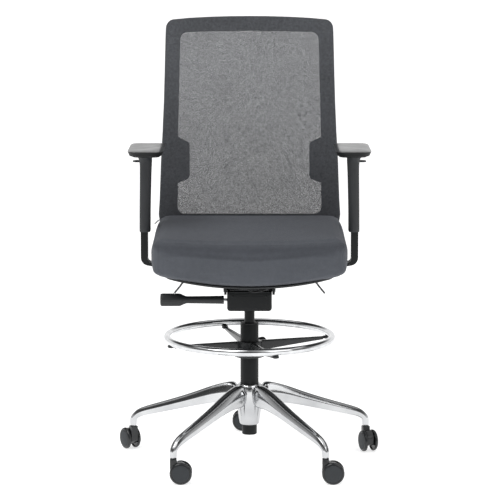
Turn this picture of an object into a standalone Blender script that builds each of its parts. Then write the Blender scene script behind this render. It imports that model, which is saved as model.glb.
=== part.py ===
"""Drafting chair with a foot ring, a mesh back and adjustable arms.

Metres, +Z up. +X is the sitter's left, +Y points behind the sitter, and the gas column stands on the
Z axis until the last step, which moves the whole chair so that its box is centred on the origin.
"""
import math

import bmesh
import bpy
from mathutils import Vector

NAME = "drafting_chair"
GAP = 0.0003          # between pieces that touch
RUNNING = 0.0005      # between pieces that slide or turn on each other
FRAME_Y = 0.0330      # from the column's axis back to the middle of the chair's box

# Casters and star base
LEG_ANGLES = (18, 90, 162, 234, 306)
TRAIL_ANGLES = (-71, 180, 120, 0, 0)
STEM_CIRCLE = 0.3437
WHEEL_RADIUS = 0.030
WHEEL_WIDTH = 0.0115
CASTER_TRAIL = 0.020
CASTER_BODY = 0.0205
AXLE_RADIUS = 0.0035
STEM_RADIUS = 0.0055
STEM_BASE = 2 * WHEEL_RADIUS + 0.0085
STEM_DEPTH = 0.022
STUB_RADIUS = 0.0095
LEG_ROOT_WIDTH = 0.040
LEG_TIP_WIDTH = 0.019
HUB_TOP = 0.220
HUB_BOTTOM = 0.0995
HUB_WALL = 0.006       # at the hub's rim, around the column

# Column and gas lift
COLUMN_RADIUS = 0.025
COLUMN_WALL = 0.0028
COLUMN_TOP = 0.381
COLUMN_FOOT = 0.071
TAIL_RADIUS = 0.0205   # of the column's narrower foot
TAIL_WALL = 0.003
FLOOR_PLATE = 0.004
CYLINDER_RADIUS = 0.014
CYLINDER_FOOT = 0.125
HOUSING_FOOT = 0.4285  # underside of the tilt mechanism at the seat's lowest
CYLINDER_TOP = HOUSING_FOOT + 0.0395
ROD_RADIUS = 0.005
ROD_TOP = CYLINDER_TOP - 0.056
ROD_COLLAR = 0.009
BEARING_HEIGHT = 0.008

# Foot ring
RING_RADIUS = 0.2263
RING_TUBE = 0.0106
RING_HEIGHT = 0.3435
RING_HUB_RADIUS = COLUMN_RADIUS + 0.009
RING_FLANGE_RADIUS = RING_HUB_RADIUS + 0.009
RING_HUB_FOOT = RING_HEIGHT - 0.0535
SPOKE_ANGLES = (18, 108, 198, 288)
SPOKE_WIDTH = 0.013
SPOKE_ROOT_HEIGHT = 0.030
SPOKE_TIP_HEIGHT = 0.009
RING_KNOB_ANGLE = 50
RING_KNOB_RADIUS = 0.0125
RING_KNOB_LENGTH = 0.027
RING_SCREW_RADIUS = 0.004

# Tilt mechanism
HOUSING_HALF = 0.061
HOUSING_FRONT = -0.085
HOUSING_REAR = 0.115
HOUSING_TOP = HOUSING_FOOT + 0.0555
HOUSING_WALL = 0.0075
HOUSING_FLOOR = 0.0055
SOCKET_RADIUS = CYLINDER_RADIUS + 0.008
TILT_PIN_Y = -0.055
TILT_PIN_Z = HOUSING_TOP - 0.002
TILT_PIN_RADIUS = 0.005
RECLINE_PIN_Y = 0.088
RECLINE_PIN_Z = HOUSING_FOOT + 0.0265
RECLINE_PIN_RADIUS = 0.006
KNOB_Y = -0.060
KNOB_Z = HOUSING_FOOT + 0.0285
KNOB_RADIUS = 0.0175
KNOB_SHAFT_RADIUS = 0.0105
KNOB_ROD_RADIUS = 0.0042
KNOB_LENGTH = 0.182
SPRING_X = 0.0375
SPRING_Z = HOUSING_FOOT + 0.0180
SPRING_COIL = 0.0085
SPRING_WIRE = 0.0015
SPRING_TURNS = 7

# Seat
PLATE_WALL = 0.006
PLATE_SIDE_GAP = 0.0013
PLATE_HALF = HOUSING_HALF + PLATE_SIDE_GAP + 0.0062
PLATE_TOP = HOUSING_TOP + 0.0302
PLATE_FRONT = -0.090
PLATE_REAR = 0.100
SHELL_HALF = 0.237
SHELL_THICK = 0.008
SHELL_DISH = 0.0305
SHELL_FRONT = -0.238
SHELL_REAR = 0.214
CUSHION_HALF = 0.262
CUSHION_FRONT = -0.250
CUSHION_REAR = 0.220
CUSHION_TOP = PLATE_TOP + 0.1413
CUSHION_EDGE = 0.020

# Back
BACK_Y = 0.238        # the mesh's front face at the height where the back starts to curve
BACK_Z = PLATE_TOP + 0.1358
BACK_SLOPE = 0.14
BACK_BEND = 0.072
MESH_THICK = 0.0012
FRAME_THICK = 0.016
FRAME_TOP = BACK_Z + 0.555
FRAME_FOOT = BACK_Z - 0.028
TONGUE_HALF = 0.040
TONGUE_FOOT = BACK_Z - 0.120
BAR_HALF = 0.028
BAR_THICK = 0.009
BAR_TOP = BACK_Z - 0.010
WING_X = 0.170         # how far in the frame's side wings reach

# Wire levers and control cables
WIRE_RADIUS = 0.00225
CABLE_RADIUS = 0.002
LEVER_BARREL = 0.0065
LEVER_X = 0.108
LEVER_Y = -0.100
LEVER_Z = PLATE_TOP - 0.0017
BACK_LEVER_X = -0.050
BACK_LEVER_Z = BACK_Z - 0.018

# Arms
POST_X = 0.2885
ARM_Y = 0.030
POST_WIDTH = 0.019
POST_DEPTH = 0.040
POST_TOP = PLATE_TOP + 0.2530
SLEEVE_WIDTH = POST_WIDTH + 0.012
SLEEVE_DEPTH = POST_DEPTH + 0.014
SLEEVE_FOOT = PLATE_TOP + 0.1188
SLEEVE_TOP = PLATE_TOP + 0.3313
SLEEVE_ROOF = 0.008
BRACKET_THICK = 0.009
BRACKET_INNER_X = 0.085
BRACKET_TOUCH_X = 0.160
PIVOT_RADIUS = 0.008
PIVOT_DEPTH = 0.005
PAD_BASE_THICK = 0.006
PAD_WIDTH = 0.102
PAD_LENGTH = 0.250
PAD_THICK = 0.018
PAD_FORWARD = 0.035
PAD_X = POST_X - 0.0095
TRIGGER_THICK = 0.004
TRIGGER_WIDTH = 0.027
TRIGGER_Z = SLEEVE_TOP - 0.0195
TRIGGER_TRAVEL = 0.0040
TRIGGER_REACH = 0.0145

# How a flat outline drawn in X and Y is stood up
FACING_Y = (math.pi / 2, 0, 0)               # its X and Y become X and Z
FACING_X = (math.pi / 2, 0, math.pi / 2)     # its X and Y become Y and Z


def srgb(red, green, blue):
    """Blender's linear colour for a display colour of 0 to 255."""
    return tuple(((c / 255 + 0.055) / 1.055) ** 2.4 for c in (red, green, blue)) + (1.0,)


MATERIALS = {
    "polished_aluminium": (srgb(222, 223, 224), 0.12, 1.0),
    "chrome": (srgb(228, 229, 230), 0.06, 1.0),
    "steel": (srgb(150, 151, 152), 0.35, 1.0),
    "black_steel": (srgb(50, 52, 53), 0.45, 0.0),
    "black_plastic": (srgb(42, 44, 46), 0.5, 0.0),
    "caster_plastic": (srgb(58, 61, 64), 0.35, 0.0),
    "frame_plastic": (srgb(54, 56, 59), 0.55, 0.0),
    "seat_fabric": (srgb(84, 87, 92), 0.95, 0.0),
    "back_mesh": (srgb(96, 98, 101), 0.9, 0.0),
    "pad_urethane": (srgb(78, 79, 80), 0.6, 0.0),
    "cable_jacket": (srgb(30, 31, 32), 0.4, 0.0),
}


def clear_scene():
    for old in list(bpy.data.objects):
        bpy.data.objects.remove(old, do_unlink=True)


def collection(name):
    made = bpy.data.collections.new(name)
    bpy.context.scene.collection.children.link(made)
    return made


def material(name):
    """The named material, made the first time that it is asked for."""
    if name in bpy.data.materials:
        return bpy.data.materials[name]
    colour, roughness, metallic = MATERIALS[name]
    made = bpy.data.materials.new(name)
    made.use_nodes = True
    shader = made.node_tree.nodes["Principled BSDF"]
    shader.inputs["Base Color"].default_value = colour
    shader.inputs["Roughness"].default_value = roughness
    shader.inputs["Metallic"].default_value = metallic
    made.diffuse_color = colour
    return made


# ---------------------------------------------------------------- shapes

def new_object(name, data, location=(0, 0, 0), rotation=(0, 0, 0)):
    made = bpy.data.objects.new(name, data)
    made.location = location
    made.rotation_euler = rotation
    PARTS.objects.link(made)
    return made


def empty(name, location, parent=None, turn=0.0):
    """A joint's axis marker, at a place in the chair."""
    made = new_object(name, None, location, (0, 0, turn))
    made.empty_display_size = 0.03
    if parent:
        attach(made, parent)
    bpy.context.view_layer.update()
    return made


def attach(child, parent):
    """Parent a piece that is already in its place in the chair."""
    child.parent = parent
    child.matrix_parent_inverse = parent.matrix_world.inverted()


def finish(made, parent, surface, keep_local=False):
    """Give a piece its parent and its material."""
    if keep_local:
        made.parent = parent
    else:
        attach(made, parent)
    made.data.materials.clear()
    made.data.materials.append(material(surface))
    return made


def soften(made, width, segments=2, angle=35):
    """Round the sharp edges of a piece."""
    bevel = made.modifiers.new("rounded_edges", "BEVEL")
    bevel.width = width
    bevel.segments = segments
    bevel.limit_method = "ANGLE"
    bevel.angle_limit = math.radians(angle)
    return made


def from_bmesh(name, shape, location=(0, 0, 0), rotation=(0, 0, 0)):
    data = bpy.data.meshes.new(name)
    shape.to_mesh(data)
    shape.free()
    return new_object(name, data, location, rotation)


def box(name, low, high):
    """A box between two corners, with its origin in its middle."""
    low = Vector(low)
    high = Vector(high)
    shape = bmesh.new()
    bmesh.ops.create_cube(shape, size=1)
    bmesh.ops.scale(shape, vec=high - low, verts=shape.verts)
    return from_bmesh(name, shape, (low + high) / 2)


def rod(name, radius, start, end, sides=20):
    """A round bar between two points, with its origin at the first."""
    start = Vector(start)
    along = Vector(end) - start
    shape = bmesh.new()
    bmesh.ops.create_cone(shape, segments=sides, cap_ends=True, radius1=radius, radius2=radius,
                          depth=along.length)
    bmesh.ops.translate(shape, vec=(0, 0, along.length / 2), verts=shape.verts)
    return from_bmesh(name, shape, start, along.to_track_quat("Z", "Y").to_euler())


def turned(name, profile, location=(0, 0, 0), rotation=(0, 0, 0), sides=24, ring=False):
    """A turned solid. The profile holds (radius, height) points down its outer side."""
    data = bpy.data.meshes.new(name)
    edges = [(i, i + 1) for i in range(len(profile) - 1)]
    if ring:
        edges.append((len(profile) - 1, 0))
    data.from_pydata([(r, 0, z) for r, z in profile], edges, [])
    made = new_object(name, data, location, rotation)
    screw = made.modifiers.new("turned", "SCREW")
    screw.steps = sides
    screw.render_steps = sides
    screw.use_merge_vertices = True
    screw.merge_threshold = 0.00001
    return made


def arc_points(corner, before, after, radius, steps=5):
    """The points of a rounded corner of an outline."""
    to_before = (before - corner).normalized()
    to_after = (after - corner).normalized()
    half = to_before.angle(to_after) / 2
    reach = radius / math.tan(half)
    centre = corner + (to_before + to_after).normalized() * (radius / math.sin(half))
    first = corner + to_before * reach - centre
    last = corner + to_after * reach - centre
    sweep = first.angle_signed(last)
    points = []
    for i in range(steps + 1):
        turn = -sweep * i / steps
        points.append(centre + Vector((first.x * math.cos(turn) - first.y * math.sin(turn),
                                       first.x * math.sin(turn) + first.y * math.cos(turn))))
    return points


def rounded(corners, steps=5):
    """An outline from (x, y, corner radius) points."""
    points = []
    for i, (x, y, radius) in enumerate(corners):
        corner = Vector((x, y))
        if radius == 0:
            points.append(corner)
            continue
        before = Vector(corners[i - 1][:2])
        after = Vector(corners[(i + 1) % len(corners)][:2])
        points.extend(arc_points(corner, before, after, radius, steps))
    return points


def rectangle(width, height, radius, steps=5):
    """A rounded rectangle around the origin."""
    x = width / 2
    y = height / 2
    return rounded([(x, -y, radius), (x, y, radius), (-x, y, radius), (-x, -y, radius)], steps)


def both_sides(right):
    """A closed outline from its right half, which runs from bottom to top."""
    return right + [(-x, y, radius) for x, y, radius in reversed(right) if x > 0]


def plate(name, outlines, thickness, location=(0, 0, 0), rotation=(0, 0, 0)):
    """A flat piece from its outlines, as a closed mesh around its mid plane."""
    curve = bpy.data.curves.new(name, "CURVE")
    curve.dimensions = "2D"
    curve.fill_mode = "BOTH"
    curve.extrude = thickness / 2
    for outline in outlines:
        spline = curve.splines.new("POLY")
        spline.points.add(len(outline) - 1)
        for point, place in zip(spline.points, outline):
            point.co = (place.x, place.y, 0, 1)
        spline.use_cyclic_u = True
    return as_mesh(new_object(name, curve, location, rotation))


def wire(name, points, radius):
    """A round wire along the points, with its ends filled."""
    curve = bpy.data.curves.new(name, "CURVE")
    curve.dimensions = "3D"
    curve.bevel_depth = radius
    curve.bevel_resolution = 2
    curve.use_fill_caps = True
    spline = curve.splines.new("POLY")
    spline.points.add(len(points) - 1)
    for point, place in zip(spline.points, points):
        point.co = (*place, 1)
    return new_object(name, curve)


def as_mesh(source):
    """The closed mesh of a curve object, in the curve's place."""
    bpy.context.view_layer.update()
    evaluated = source.evaluated_get(bpy.context.evaluated_depsgraph_get())
    data = bpy.data.meshes.new_from_object(evaluated)
    name = source.name
    place = source.matrix_world.copy()
    bpy.data.objects.remove(source, do_unlink=True)
    shape = bmesh.new()
    shape.from_mesh(data)
    bmesh.ops.remove_doubles(shape, verts=shape.verts, dist=0.000001)
    shape.to_mesh(data)
    shape.free()
    made = new_object(name, data)
    made.matrix_world = place
    return made


def smooth_route(knots, steps=6):
    """Points on a smooth curve through the knots."""
    knots = [Vector(k) for k in knots]
    padded = [knots[0] * 2 - knots[1]] + knots + [knots[-1] * 2 - knots[-2]]
    points = []
    for before, start, end, after in zip(padded, padded[1:], padded[2:], padded[3:]):
        for i in range(steps):
            t = i / steps
            points.append(0.5 * (2 * start + (end - before) * t
                                 + (2 * before - 5 * start + 4 * end - after) * t ** 2
                                 + (3 * start - before - 3 * end + after) * t ** 3))
    return points + [knots[-1]]


def combine(target, tool, operation):
    """Cut a piece with a tool, or join the tool to it. The tool is kept among the cutters."""
    PARTS.objects.unlink(tool)
    CUTTERS.objects.link(tool)
    tool.parent = target
    tool.matrix_parent_inverse = target.matrix_basis.inverted()
    tool.hide_render = True
    tool.display_type = "WIRE"
    boolean = target.modifiers.new(operation.lower() + "_" + tool.name, "BOOLEAN")
    boolean.operation = operation
    boolean.solver = "EXACT"
    boolean.object = tool
    return target


def join(target, tool):
    return combine(target, tool, "UNION")


def cut(target, tool):
    return combine(target, tool, "DIFFERENCE")


# ---------------------------------------------------------------- base and casters

def leg_outline():
    """A leg's side view, as (distance from the column, height, corner radius)."""
    inner = STEM_CIRCLE - STUB_RADIUS
    outer = STEM_CIRCLE + STUB_RADIUS
    root = COLUMN_RADIUS + HUB_WALL
    return rounded([
        (root, HUB_TOP - 0.0010, 0), (root, HUB_TOP - 0.066, 0), (0.100, HUB_TOP - 0.065, 0),
        (inner - 0.1422, HUB_TOP - 0.088, 0), (inner, STEM_BASE + 0.0250, 0.014), (inner, STEM_BASE, 0.001),
        (outer, STEM_BASE, 0.001), (outer, STEM_BASE + 0.0455, 0.020), (outer - 0.1232, HUB_TOP - 0.0685, 0),
        (outer - 0.2032, HUB_TOP - 0.0380, 0), (0.100, HUB_TOP - 0.0170, 0),
    ], 3)


def star_base(parent):
    bore = COLUMN_RADIUS + GAP
    rim = COLUMN_RADIUS + HUB_WALL
    hub = turned("star_base", [
        (bore, HUB_TOP), (rim, HUB_TOP), (rim + 0.004, HUB_TOP - 0.004), (rim + 0.006, HUB_TOP - 0.034),
        (rim + 0.002, HUB_TOP - 0.062), (rim, HUB_TOP - 0.077), (rim - 0.0015, HUB_BOTTOM + 0.0155),
        (rim - 0.0025, HUB_BOTTOM + 0.002), (rim - 0.0035, HUB_BOTTOM), (bore, HUB_BOTTOM),
    ], sides=30, ring=True)
    for number, angle in enumerate(LEG_ANGLES, 1):
        turn = math.radians(angle)
        leg = plate(f"leg_{number}", [leg_outline()], LEG_ROOT_WIDTH, rotation=(math.pi / 2, 0, turn))
        for corner in leg.data.vertices:
            share = min(max((corner.co.x - bore) / (STEM_CIRCLE - bore), 0), 1)
            corner.co.z *= 1 - share * (1 - LEG_TIP_WIDTH / LEG_ROOT_WIDTH)
        soften(leg, 0.004, 1)
        join(hub, leg)
        place = Vector((STEM_CIRCLE * math.cos(turn), STEM_CIRCLE * math.sin(turn), 0))
        low = place + Vector((0, 0, STEM_BASE - 0.01))
        high = place + Vector((0, 0, STEM_BASE + STEM_DEPTH + GAP))
        cut(hub, rod(f"stem_hole_{number}", STEM_RADIUS + GAP, low, high))
    return finish(hub, parent, "polished_aluminium")


def caster(number, parent):
    """A twin-wheel caster, in the frame of its swivel: X trails, Y is the axle."""
    turn = math.radians(LEG_ANGLES[number - 1])
    place = (STEM_CIRCLE * math.cos(turn), STEM_CIRCLE * math.sin(turn), WHEEL_RADIUS)
    name = f"caster_{number}"
    swivel = empty(name + "_swivel", place, parent, math.radians(TRAIL_ANGLES[number - 1]))
    top = STEM_BASE - WHEEL_RADIUS - 2 * GAP

    stem_foot = AXLE_RADIUS + 0.0085
    stem_top = STEM_BASE + STEM_DEPTH - WHEEL_RADIUS
    stem = turned(name + "_stem", [
        (0, stem_top), (STEM_RADIUS - 0.001, stem_top), (STEM_RADIUS, stem_top - 0.001),
        (STEM_RADIUS, stem_foot), (0, stem_foot),
    ], sides=16)
    finish(stem, swivel, "steel", keep_local=True)

    boss = STEM_RADIUS + 0.003
    crown = WHEEL_RADIUS - 0.001
    tail = CASTER_TRAIL + 0.021
    side = rounded([
        (-boss, top, 0.001), (-boss, -0.002, 0.004), (0.004, -0.012, 0.004), (0.020, -0.0165, 0.004),
        (tail, -0.006, 0.006), (tail, 0.012, 0.009), (CASTER_TRAIL + 0.004, crown, 0.010), (boss, crown, 0),
        (boss, top, 0.001),
    ], 3)
    housing = plate(name + "_housing", [side], CASTER_BODY - 2 * RUNNING, rotation=FACING_Y)
    soften(housing, 0.0015, 1)
    cut(housing, rod(name + "_stem_hole", STEM_RADIUS + GAP, (0, 0, stem_foot - RUNNING),
                     (0, 0, stem_top), 16))
    through = CASTER_BODY
    cut(housing, rod(name + "_axle_hole", AXLE_RADIUS + GAP, (CASTER_TRAIL, -through, 0),
                     (CASTER_TRAIL, through, 0), 16))
    finish(housing, swivel, "caster_plastic", keep_local=True)

    axle_reach = WHEEL_WIDTH - 0.0046
    reach = CASTER_BODY / 2 + axle_reach
    axle = rod(name + "_axle", AXLE_RADIUS, (CASTER_TRAIL, -reach, 0), (CASTER_TRAIL, reach, 0), 16)
    finish(axle, swivel, "steel", keep_local=True)

    for side_name, side_sign in (("left", 1), ("right", -1)):
        spin = bpy.data.objects.new(f"{name}_{side_name}_spin", None)
        PARTS.objects.link(spin)
        spin.empty_display_size = 0.02
        spin.parent = swivel
        spin.location = (CASTER_TRAIL, side_sign * CASTER_BODY / 2, 0)
        spin.rotation_euler = (-side_sign * math.pi / 2, 0, 0)
        bore = AXLE_RADIUS + RUNNING
        face = WHEEL_WIDTH
        floor = axle_reach + RUNNING
        wheel = turned(f"{name}_wheel_{side_name}", [
            (0, face), (WHEEL_RADIUS - 0.008, face - 0.0008), (WHEEL_RADIUS - 0.0035, face - 0.0016),
            (WHEEL_RADIUS, face - 0.0050),
            (WHEEL_RADIUS, 0.0012), (WHEEL_RADIUS - 0.001, RUNNING), (bore, RUNNING), (bore, floor),
            (0, floor),
        ], sides=24)
        finish(wheel, spin, "caster_plastic", keep_local=True)
    return swivel


# ---------------------------------------------------------------- column and foot ring

def column(parent):
    inside = COLUMN_RADIUS - COLUMN_WALL
    hole = ROD_RADIUS + RUNNING
    plate_top = COLUMN_FOOT + FLOOR_PLATE
    tail_inside = TAIL_RADIUS - TAIL_WALL
    tube = turned("column_tube", [
        (inside, COLUMN_TOP), (COLUMN_RADIUS - 0.0006, COLUMN_TOP), (COLUMN_RADIUS, COLUMN_TOP - 0.0006),
        (COLUMN_RADIUS, HUB_BOTTOM + 0.008), (TAIL_RADIUS, HUB_BOTTOM + 0.002),
        (TAIL_RADIUS, COLUMN_FOOT + 0.001), (TAIL_RADIUS - 0.001, COLUMN_FOOT), (hole, COLUMN_FOOT),
        (hole, plate_top), (tail_inside, plate_top), (tail_inside, HUB_BOTTOM + 0.005),
        (inside, HUB_BOTTOM + 0.012),
    ], sides=24, ring=True)
    finish(tube, parent, "black_steel")

    guide = CYLINDER_RADIUS + RUNNING
    liner = inside - GAP
    bush = turned("guide_bush", [
        (guide, COLUMN_TOP + 0.003), (liner + 0.0015, COLUMN_TOP + 0.003),
        (liner + 0.002, COLUMN_TOP + 0.0025), (liner + 0.002, COLUMN_TOP + GAP), (liner, COLUMN_TOP + GAP),
        (liner, COLUMN_TOP - 0.135), (guide, COLUMN_TOP - 0.135),
    ], sides=24, ring=True)
    finish(bush, parent, "black_plastic")

    race = plate_top + GAP
    outer = ROD_RADIUS + 0.009
    bearing = turned("thrust_bearing", [
        (hole, race + BEARING_HEIGHT), (outer - 0.0005, race + BEARING_HEIGHT),
        (outer, race + BEARING_HEIGHT - 0.0005), (outer, race), (hole, race),
    ], sides=24, ring=True)
    finish(bearing, parent, "steel")


def piston_rod(parent):
    shoulder = COLUMN_FOOT + FLOOR_PLATE + BEARING_HEIGHT + 2 * GAP
    piston = CYLINDER_RADIUS - 0.003
    made = turned("piston_rod", [
        (0, ROD_TOP), (piston, ROD_TOP), (piston, ROD_TOP - 0.012), (ROD_RADIUS, ROD_TOP - 0.012),
        (ROD_RADIUS, shoulder + 0.006), (ROD_COLLAR, shoulder + 0.006), (ROD_COLLAR, shoulder),
        (ROD_RADIUS, shoulder), (ROD_RADIUS, COLUMN_FOOT + 0.0015), (0, COLUMN_FOOT + 0.0015),
    ], sides=20)
    return finish(made, parent, "steel")


def gas_cylinder(parent):
    hole = ROD_RADIUS + RUNNING
    inside = CYLINDER_RADIUS - 0.0025
    made = turned("gas_cylinder", [
        (0, CYLINDER_TOP), (CYLINDER_RADIUS - 0.002, CYLINDER_TOP), (CYLINDER_RADIUS, CYLINDER_TOP - 0.012),
        (CYLINDER_RADIUS, CYLINDER_FOOT + 0.001), (CYLINDER_RADIUS - 0.001, CYLINDER_FOOT),
        (hole, CYLINDER_FOOT), (hole, CYLINDER_FOOT + 0.012), (inside, CYLINDER_FOOT + 0.012),
        (inside, CYLINDER_TOP - 0.008), (0, CYLINDER_TOP - 0.008),
    ], sides=20)
    return finish(made, parent, "black_steel")


def foot_ring(parent):
    bpy.ops.mesh.primitive_torus_add(major_radius=RING_RADIUS, minor_radius=RING_TUBE, major_segments=48,
                                     minor_segments=10, location=(0, 0, RING_HEIGHT))
    ring = bpy.context.active_object
    ring.name = "foot_ring"
    for holder in list(ring.users_collection):
        holder.objects.unlink(ring)
    PARTS.objects.link(ring)
    finish(ring, parent, "chrome")

    bore = COLUMN_RADIUS + RUNNING
    spoke_top = RING_HEIGHT - RING_TUBE - GAP
    hub = turned("ring_hub", [
        (bore, spoke_top + 0.001), (RING_HUB_RADIUS - 0.001, spoke_top + 0.001), (RING_HUB_RADIUS, spoke_top),
        (RING_HUB_RADIUS, RING_HUB_FOOT + 0.007), (RING_FLANGE_RADIUS, RING_HUB_FOOT + 0.006),
        (RING_FLANGE_RADIUS, RING_HUB_FOOT), (bore, RING_HUB_FOOT),
    ], sides=24, ring=True)
    root = COLUMN_RADIUS + 0.004
    tip = RING_RADIUS - 0.010
    cap = RING_RADIUS + 0.010
    side = rounded([
        (root, spoke_top, 0), (root, spoke_top - SPOKE_ROOT_HEIGHT, 0),
        (tip, spoke_top - SPOKE_TIP_HEIGHT, 0), (tip, spoke_top - 0.012, 0), (cap, spoke_top - 0.012, 0.004),
        (cap, spoke_top, 0),
    ], 3)
    for number, angle in enumerate(SPOKE_ANGLES, 1):
        spoke = plate(f"spoke_{number}", [side], SPOKE_WIDTH, rotation=(math.pi / 2, 0, math.radians(angle)))
        join(hub, spoke)
    turn = math.radians(RING_KNOB_ANGLE)
    outward = Vector((math.cos(turn), math.sin(turn), 0))
    height = Vector((0, 0, RING_HUB_FOOT + 0.033))
    seat = outward * RING_HUB_RADIUS + height
    tip = RING_HUB_RADIUS - COLUMN_RADIUS - 2 * RUNNING
    cut(hub, rod("clamp_hole", RING_SCREW_RADIUS + GAP, outward * (COLUMN_RADIUS - 0.005) + height,
                 outward * (RING_HUB_RADIUS + 0.011) + height, 16))
    finish(hub, parent, "black_steel")

    knob_axis = empty("ring_knob_axis", seat, parent)
    neck = RING_SCREW_RADIUS + 0.003
    knob = turned("ring_knob", [
        (0, RING_KNOB_LENGTH), (RING_KNOB_RADIUS - 0.0015, RING_KNOB_LENGTH),
        (RING_KNOB_RADIUS, RING_KNOB_LENGTH - 0.0015), (RING_KNOB_RADIUS, 0.011), (neck, 0.006),
        (neck, 0.0015), (RING_SCREW_RADIUS, 0.0015), (RING_SCREW_RADIUS, -tip), (0, -tip),
    ], seat, outward.to_track_quat("Z", "Y").to_euler(), sides=20)
    finish(knob, knob_axis, "black_plastic")


# ---------------------------------------------------------------- tilt mechanism

def mechanism(parent):
    half = HOUSING_HALF
    inner = half - HOUSING_WALL
    floor = HOUSING_FOOT + HOUSING_FLOOR
    housing = box("mechanism_housing", (-half, HOUSING_FRONT, HOUSING_FOOT),
                  (half, HOUSING_REAR, HOUSING_TOP))
    soften(housing, 0.007, 1)
    cut(housing, box("housing_cavity", (-inner, HOUSING_FRONT + HOUSING_WALL, floor),
                     (inner, HOUSING_REAR - HOUSING_WALL, HOUSING_TOP + 0.02)))
    for number, x in enumerate((-half, inner), 1):
        ear = box(f"pin_ear_{number}", (x, TILT_PIN_Y - 0.012, HOUSING_TOP - 0.02),
                  (x + HOUSING_WALL, TILT_PIN_Y + 0.012, TILT_PIN_Z + 0.010))
        soften(ear, 0.004, 1)
        join(housing, ear)
    join(housing, rod("column_socket", SOCKET_RADIUS, (0, 0, floor - 0.003),
                      (0, 0, CYLINDER_TOP + 0.004), 20))
    cut(housing, rod("socket_bore", CYLINDER_RADIUS + GAP, (0, 0, HOUSING_FOOT - 0.01),
                     (0, 0, CYLINDER_TOP + GAP), 20))
    cut(housing, rod("valve_hole", 0.006, (0, 0, CYLINDER_TOP - 0.01), (0, 0, CYLINDER_TOP + 0.02), 16))
    cut(housing, box("bar_slot", (-BAR_HALF - 0.004, HOUSING_REAR - 0.03, floor),
                     (BAR_HALF + 0.004, HOUSING_REAR + 0.02, HOUSING_TOP + 0.01)))
    cut(housing, rod("recline_hole", RECLINE_PIN_RADIUS + GAP, (-0.1, RECLINE_PIN_Y, RECLINE_PIN_Z),
                     (0.1, RECLINE_PIN_Y, RECLINE_PIN_Z)))
    cut(housing, rod("tilt_hole", TILT_PIN_RADIUS + GAP, (-0.1, TILT_PIN_Y, TILT_PIN_Z),
                     (0.1, TILT_PIN_Y, TILT_PIN_Z)))
    cut(housing, rod("knob_hole", KNOB_ROD_RADIUS + GAP, (-0.1, KNOB_Y, KNOB_Z),
                     (-inner + 0.01, KNOB_Y, KNOB_Z)))
    finish(housing, parent, "black_steel")

    pin_reach = half + 0.001
    recline_pin = rod("recline_pin", RECLINE_PIN_RADIUS, (-pin_reach, RECLINE_PIN_Y, RECLINE_PIN_Z),
                      (pin_reach, RECLINE_PIN_Y, RECLINE_PIN_Z))
    finish(recline_pin, parent, "steel")
    pin_reach = PLATE_HALF + 0.0025
    tilt_pin = rod("tilt_pin", TILT_PIN_RADIUS, (-pin_reach, TILT_PIN_Y, TILT_PIN_Z),
                   (pin_reach, TILT_PIN_Y, TILT_PIN_Z))
    finish(tilt_pin, parent, "steel")

    start = HOUSING_FRONT + HOUSING_WALL + SPRING_WIRE + 0.002
    pitch = (RECLINE_PIN_Y - 0.030 - start) / SPRING_TURNS
    steps = 8
    coil = []
    for i in range(SPRING_TURNS * steps + 1):
        turn = 2 * math.pi * i / steps
        coil.append((SPRING_X + SPRING_COIL * math.cos(turn), start + pitch * i / steps,
                     SPRING_Z + SPRING_COIL * math.sin(turn)))
    finish(wire("tension_spring", coil, SPRING_WIRE), parent, "steel")


def tension_knob(parent):
    """The handle on the mechanism's side. Local Z points outward, along -X."""
    shaft_start = PLATE_HALF - HOUSING_HALF + 0.001
    knob_start = KNOB_LENGTH - 0.057
    cone_start = knob_start - 0.013
    inward = 0.020
    made = turned("tension_knob", [
        (0, KNOB_LENGTH), (KNOB_RADIUS - 0.0015, KNOB_LENGTH), (KNOB_RADIUS, KNOB_LENGTH - 0.002),
        (KNOB_RADIUS, knob_start + 0.003), (KNOB_RADIUS - 0.001, knob_start), (KNOB_SHAFT_RADIUS, cone_start),
        (KNOB_SHAFT_RADIUS, shaft_start), (KNOB_ROD_RADIUS, shaft_start), (KNOB_ROD_RADIUS, -inward),
        (0, -inward),
    ], (-HOUSING_HALF, KNOB_Y, KNOB_Z), (0, -math.pi / 2, 0), sides=24)
    return finish(made, parent, "black_plastic")


# ---------------------------------------------------------------- seat

def shell_foot(x):
    """Height of the seat shell's underside at a distance from the middle."""
    return PLATE_TOP + GAP + SHELL_DISH * (x / SHELL_HALF) ** 2


def seat_plate(parent):
    """The steel channel over the mechanism: a top with two cheeks."""
    side = rounded([
        (PLATE_FRONT, TILT_PIN_Z - 0.006, 0.004), (TILT_PIN_Y - 0.016, TILT_PIN_Z - 0.0095, 0.006),
        (TILT_PIN_Y + 0.018, TILT_PIN_Z - 0.0095, 0.006), (TILT_PIN_Y + 0.034, TILT_PIN_Z + 0.008, 0.006),
        (PLATE_REAR, TILT_PIN_Z + 0.008, 0.006), (PLATE_REAR, PLATE_TOP, 0), (PLATE_FRONT, PLATE_TOP, 0),
    ], 3)
    made = plate("seat_plate", [side], 2 * PLATE_HALF, rotation=FACING_X)
    inner = HOUSING_HALF + PLATE_SIDE_GAP
    cut(made, box("plate_channel", (-inner, PLATE_FRONT - 0.01, HOUSING_TOP - 0.034),
                  (inner, PLATE_REAR + 0.01, PLATE_TOP - PLATE_WALL)))
    cut(made, rod("cheek_hole", TILT_PIN_RADIUS + GAP, (-0.1, TILT_PIN_Y, TILT_PIN_Z),
                  (0.1, TILT_PIN_Y, TILT_PIN_Z)))
    return finish(made, parent, "black_steel")


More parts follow.
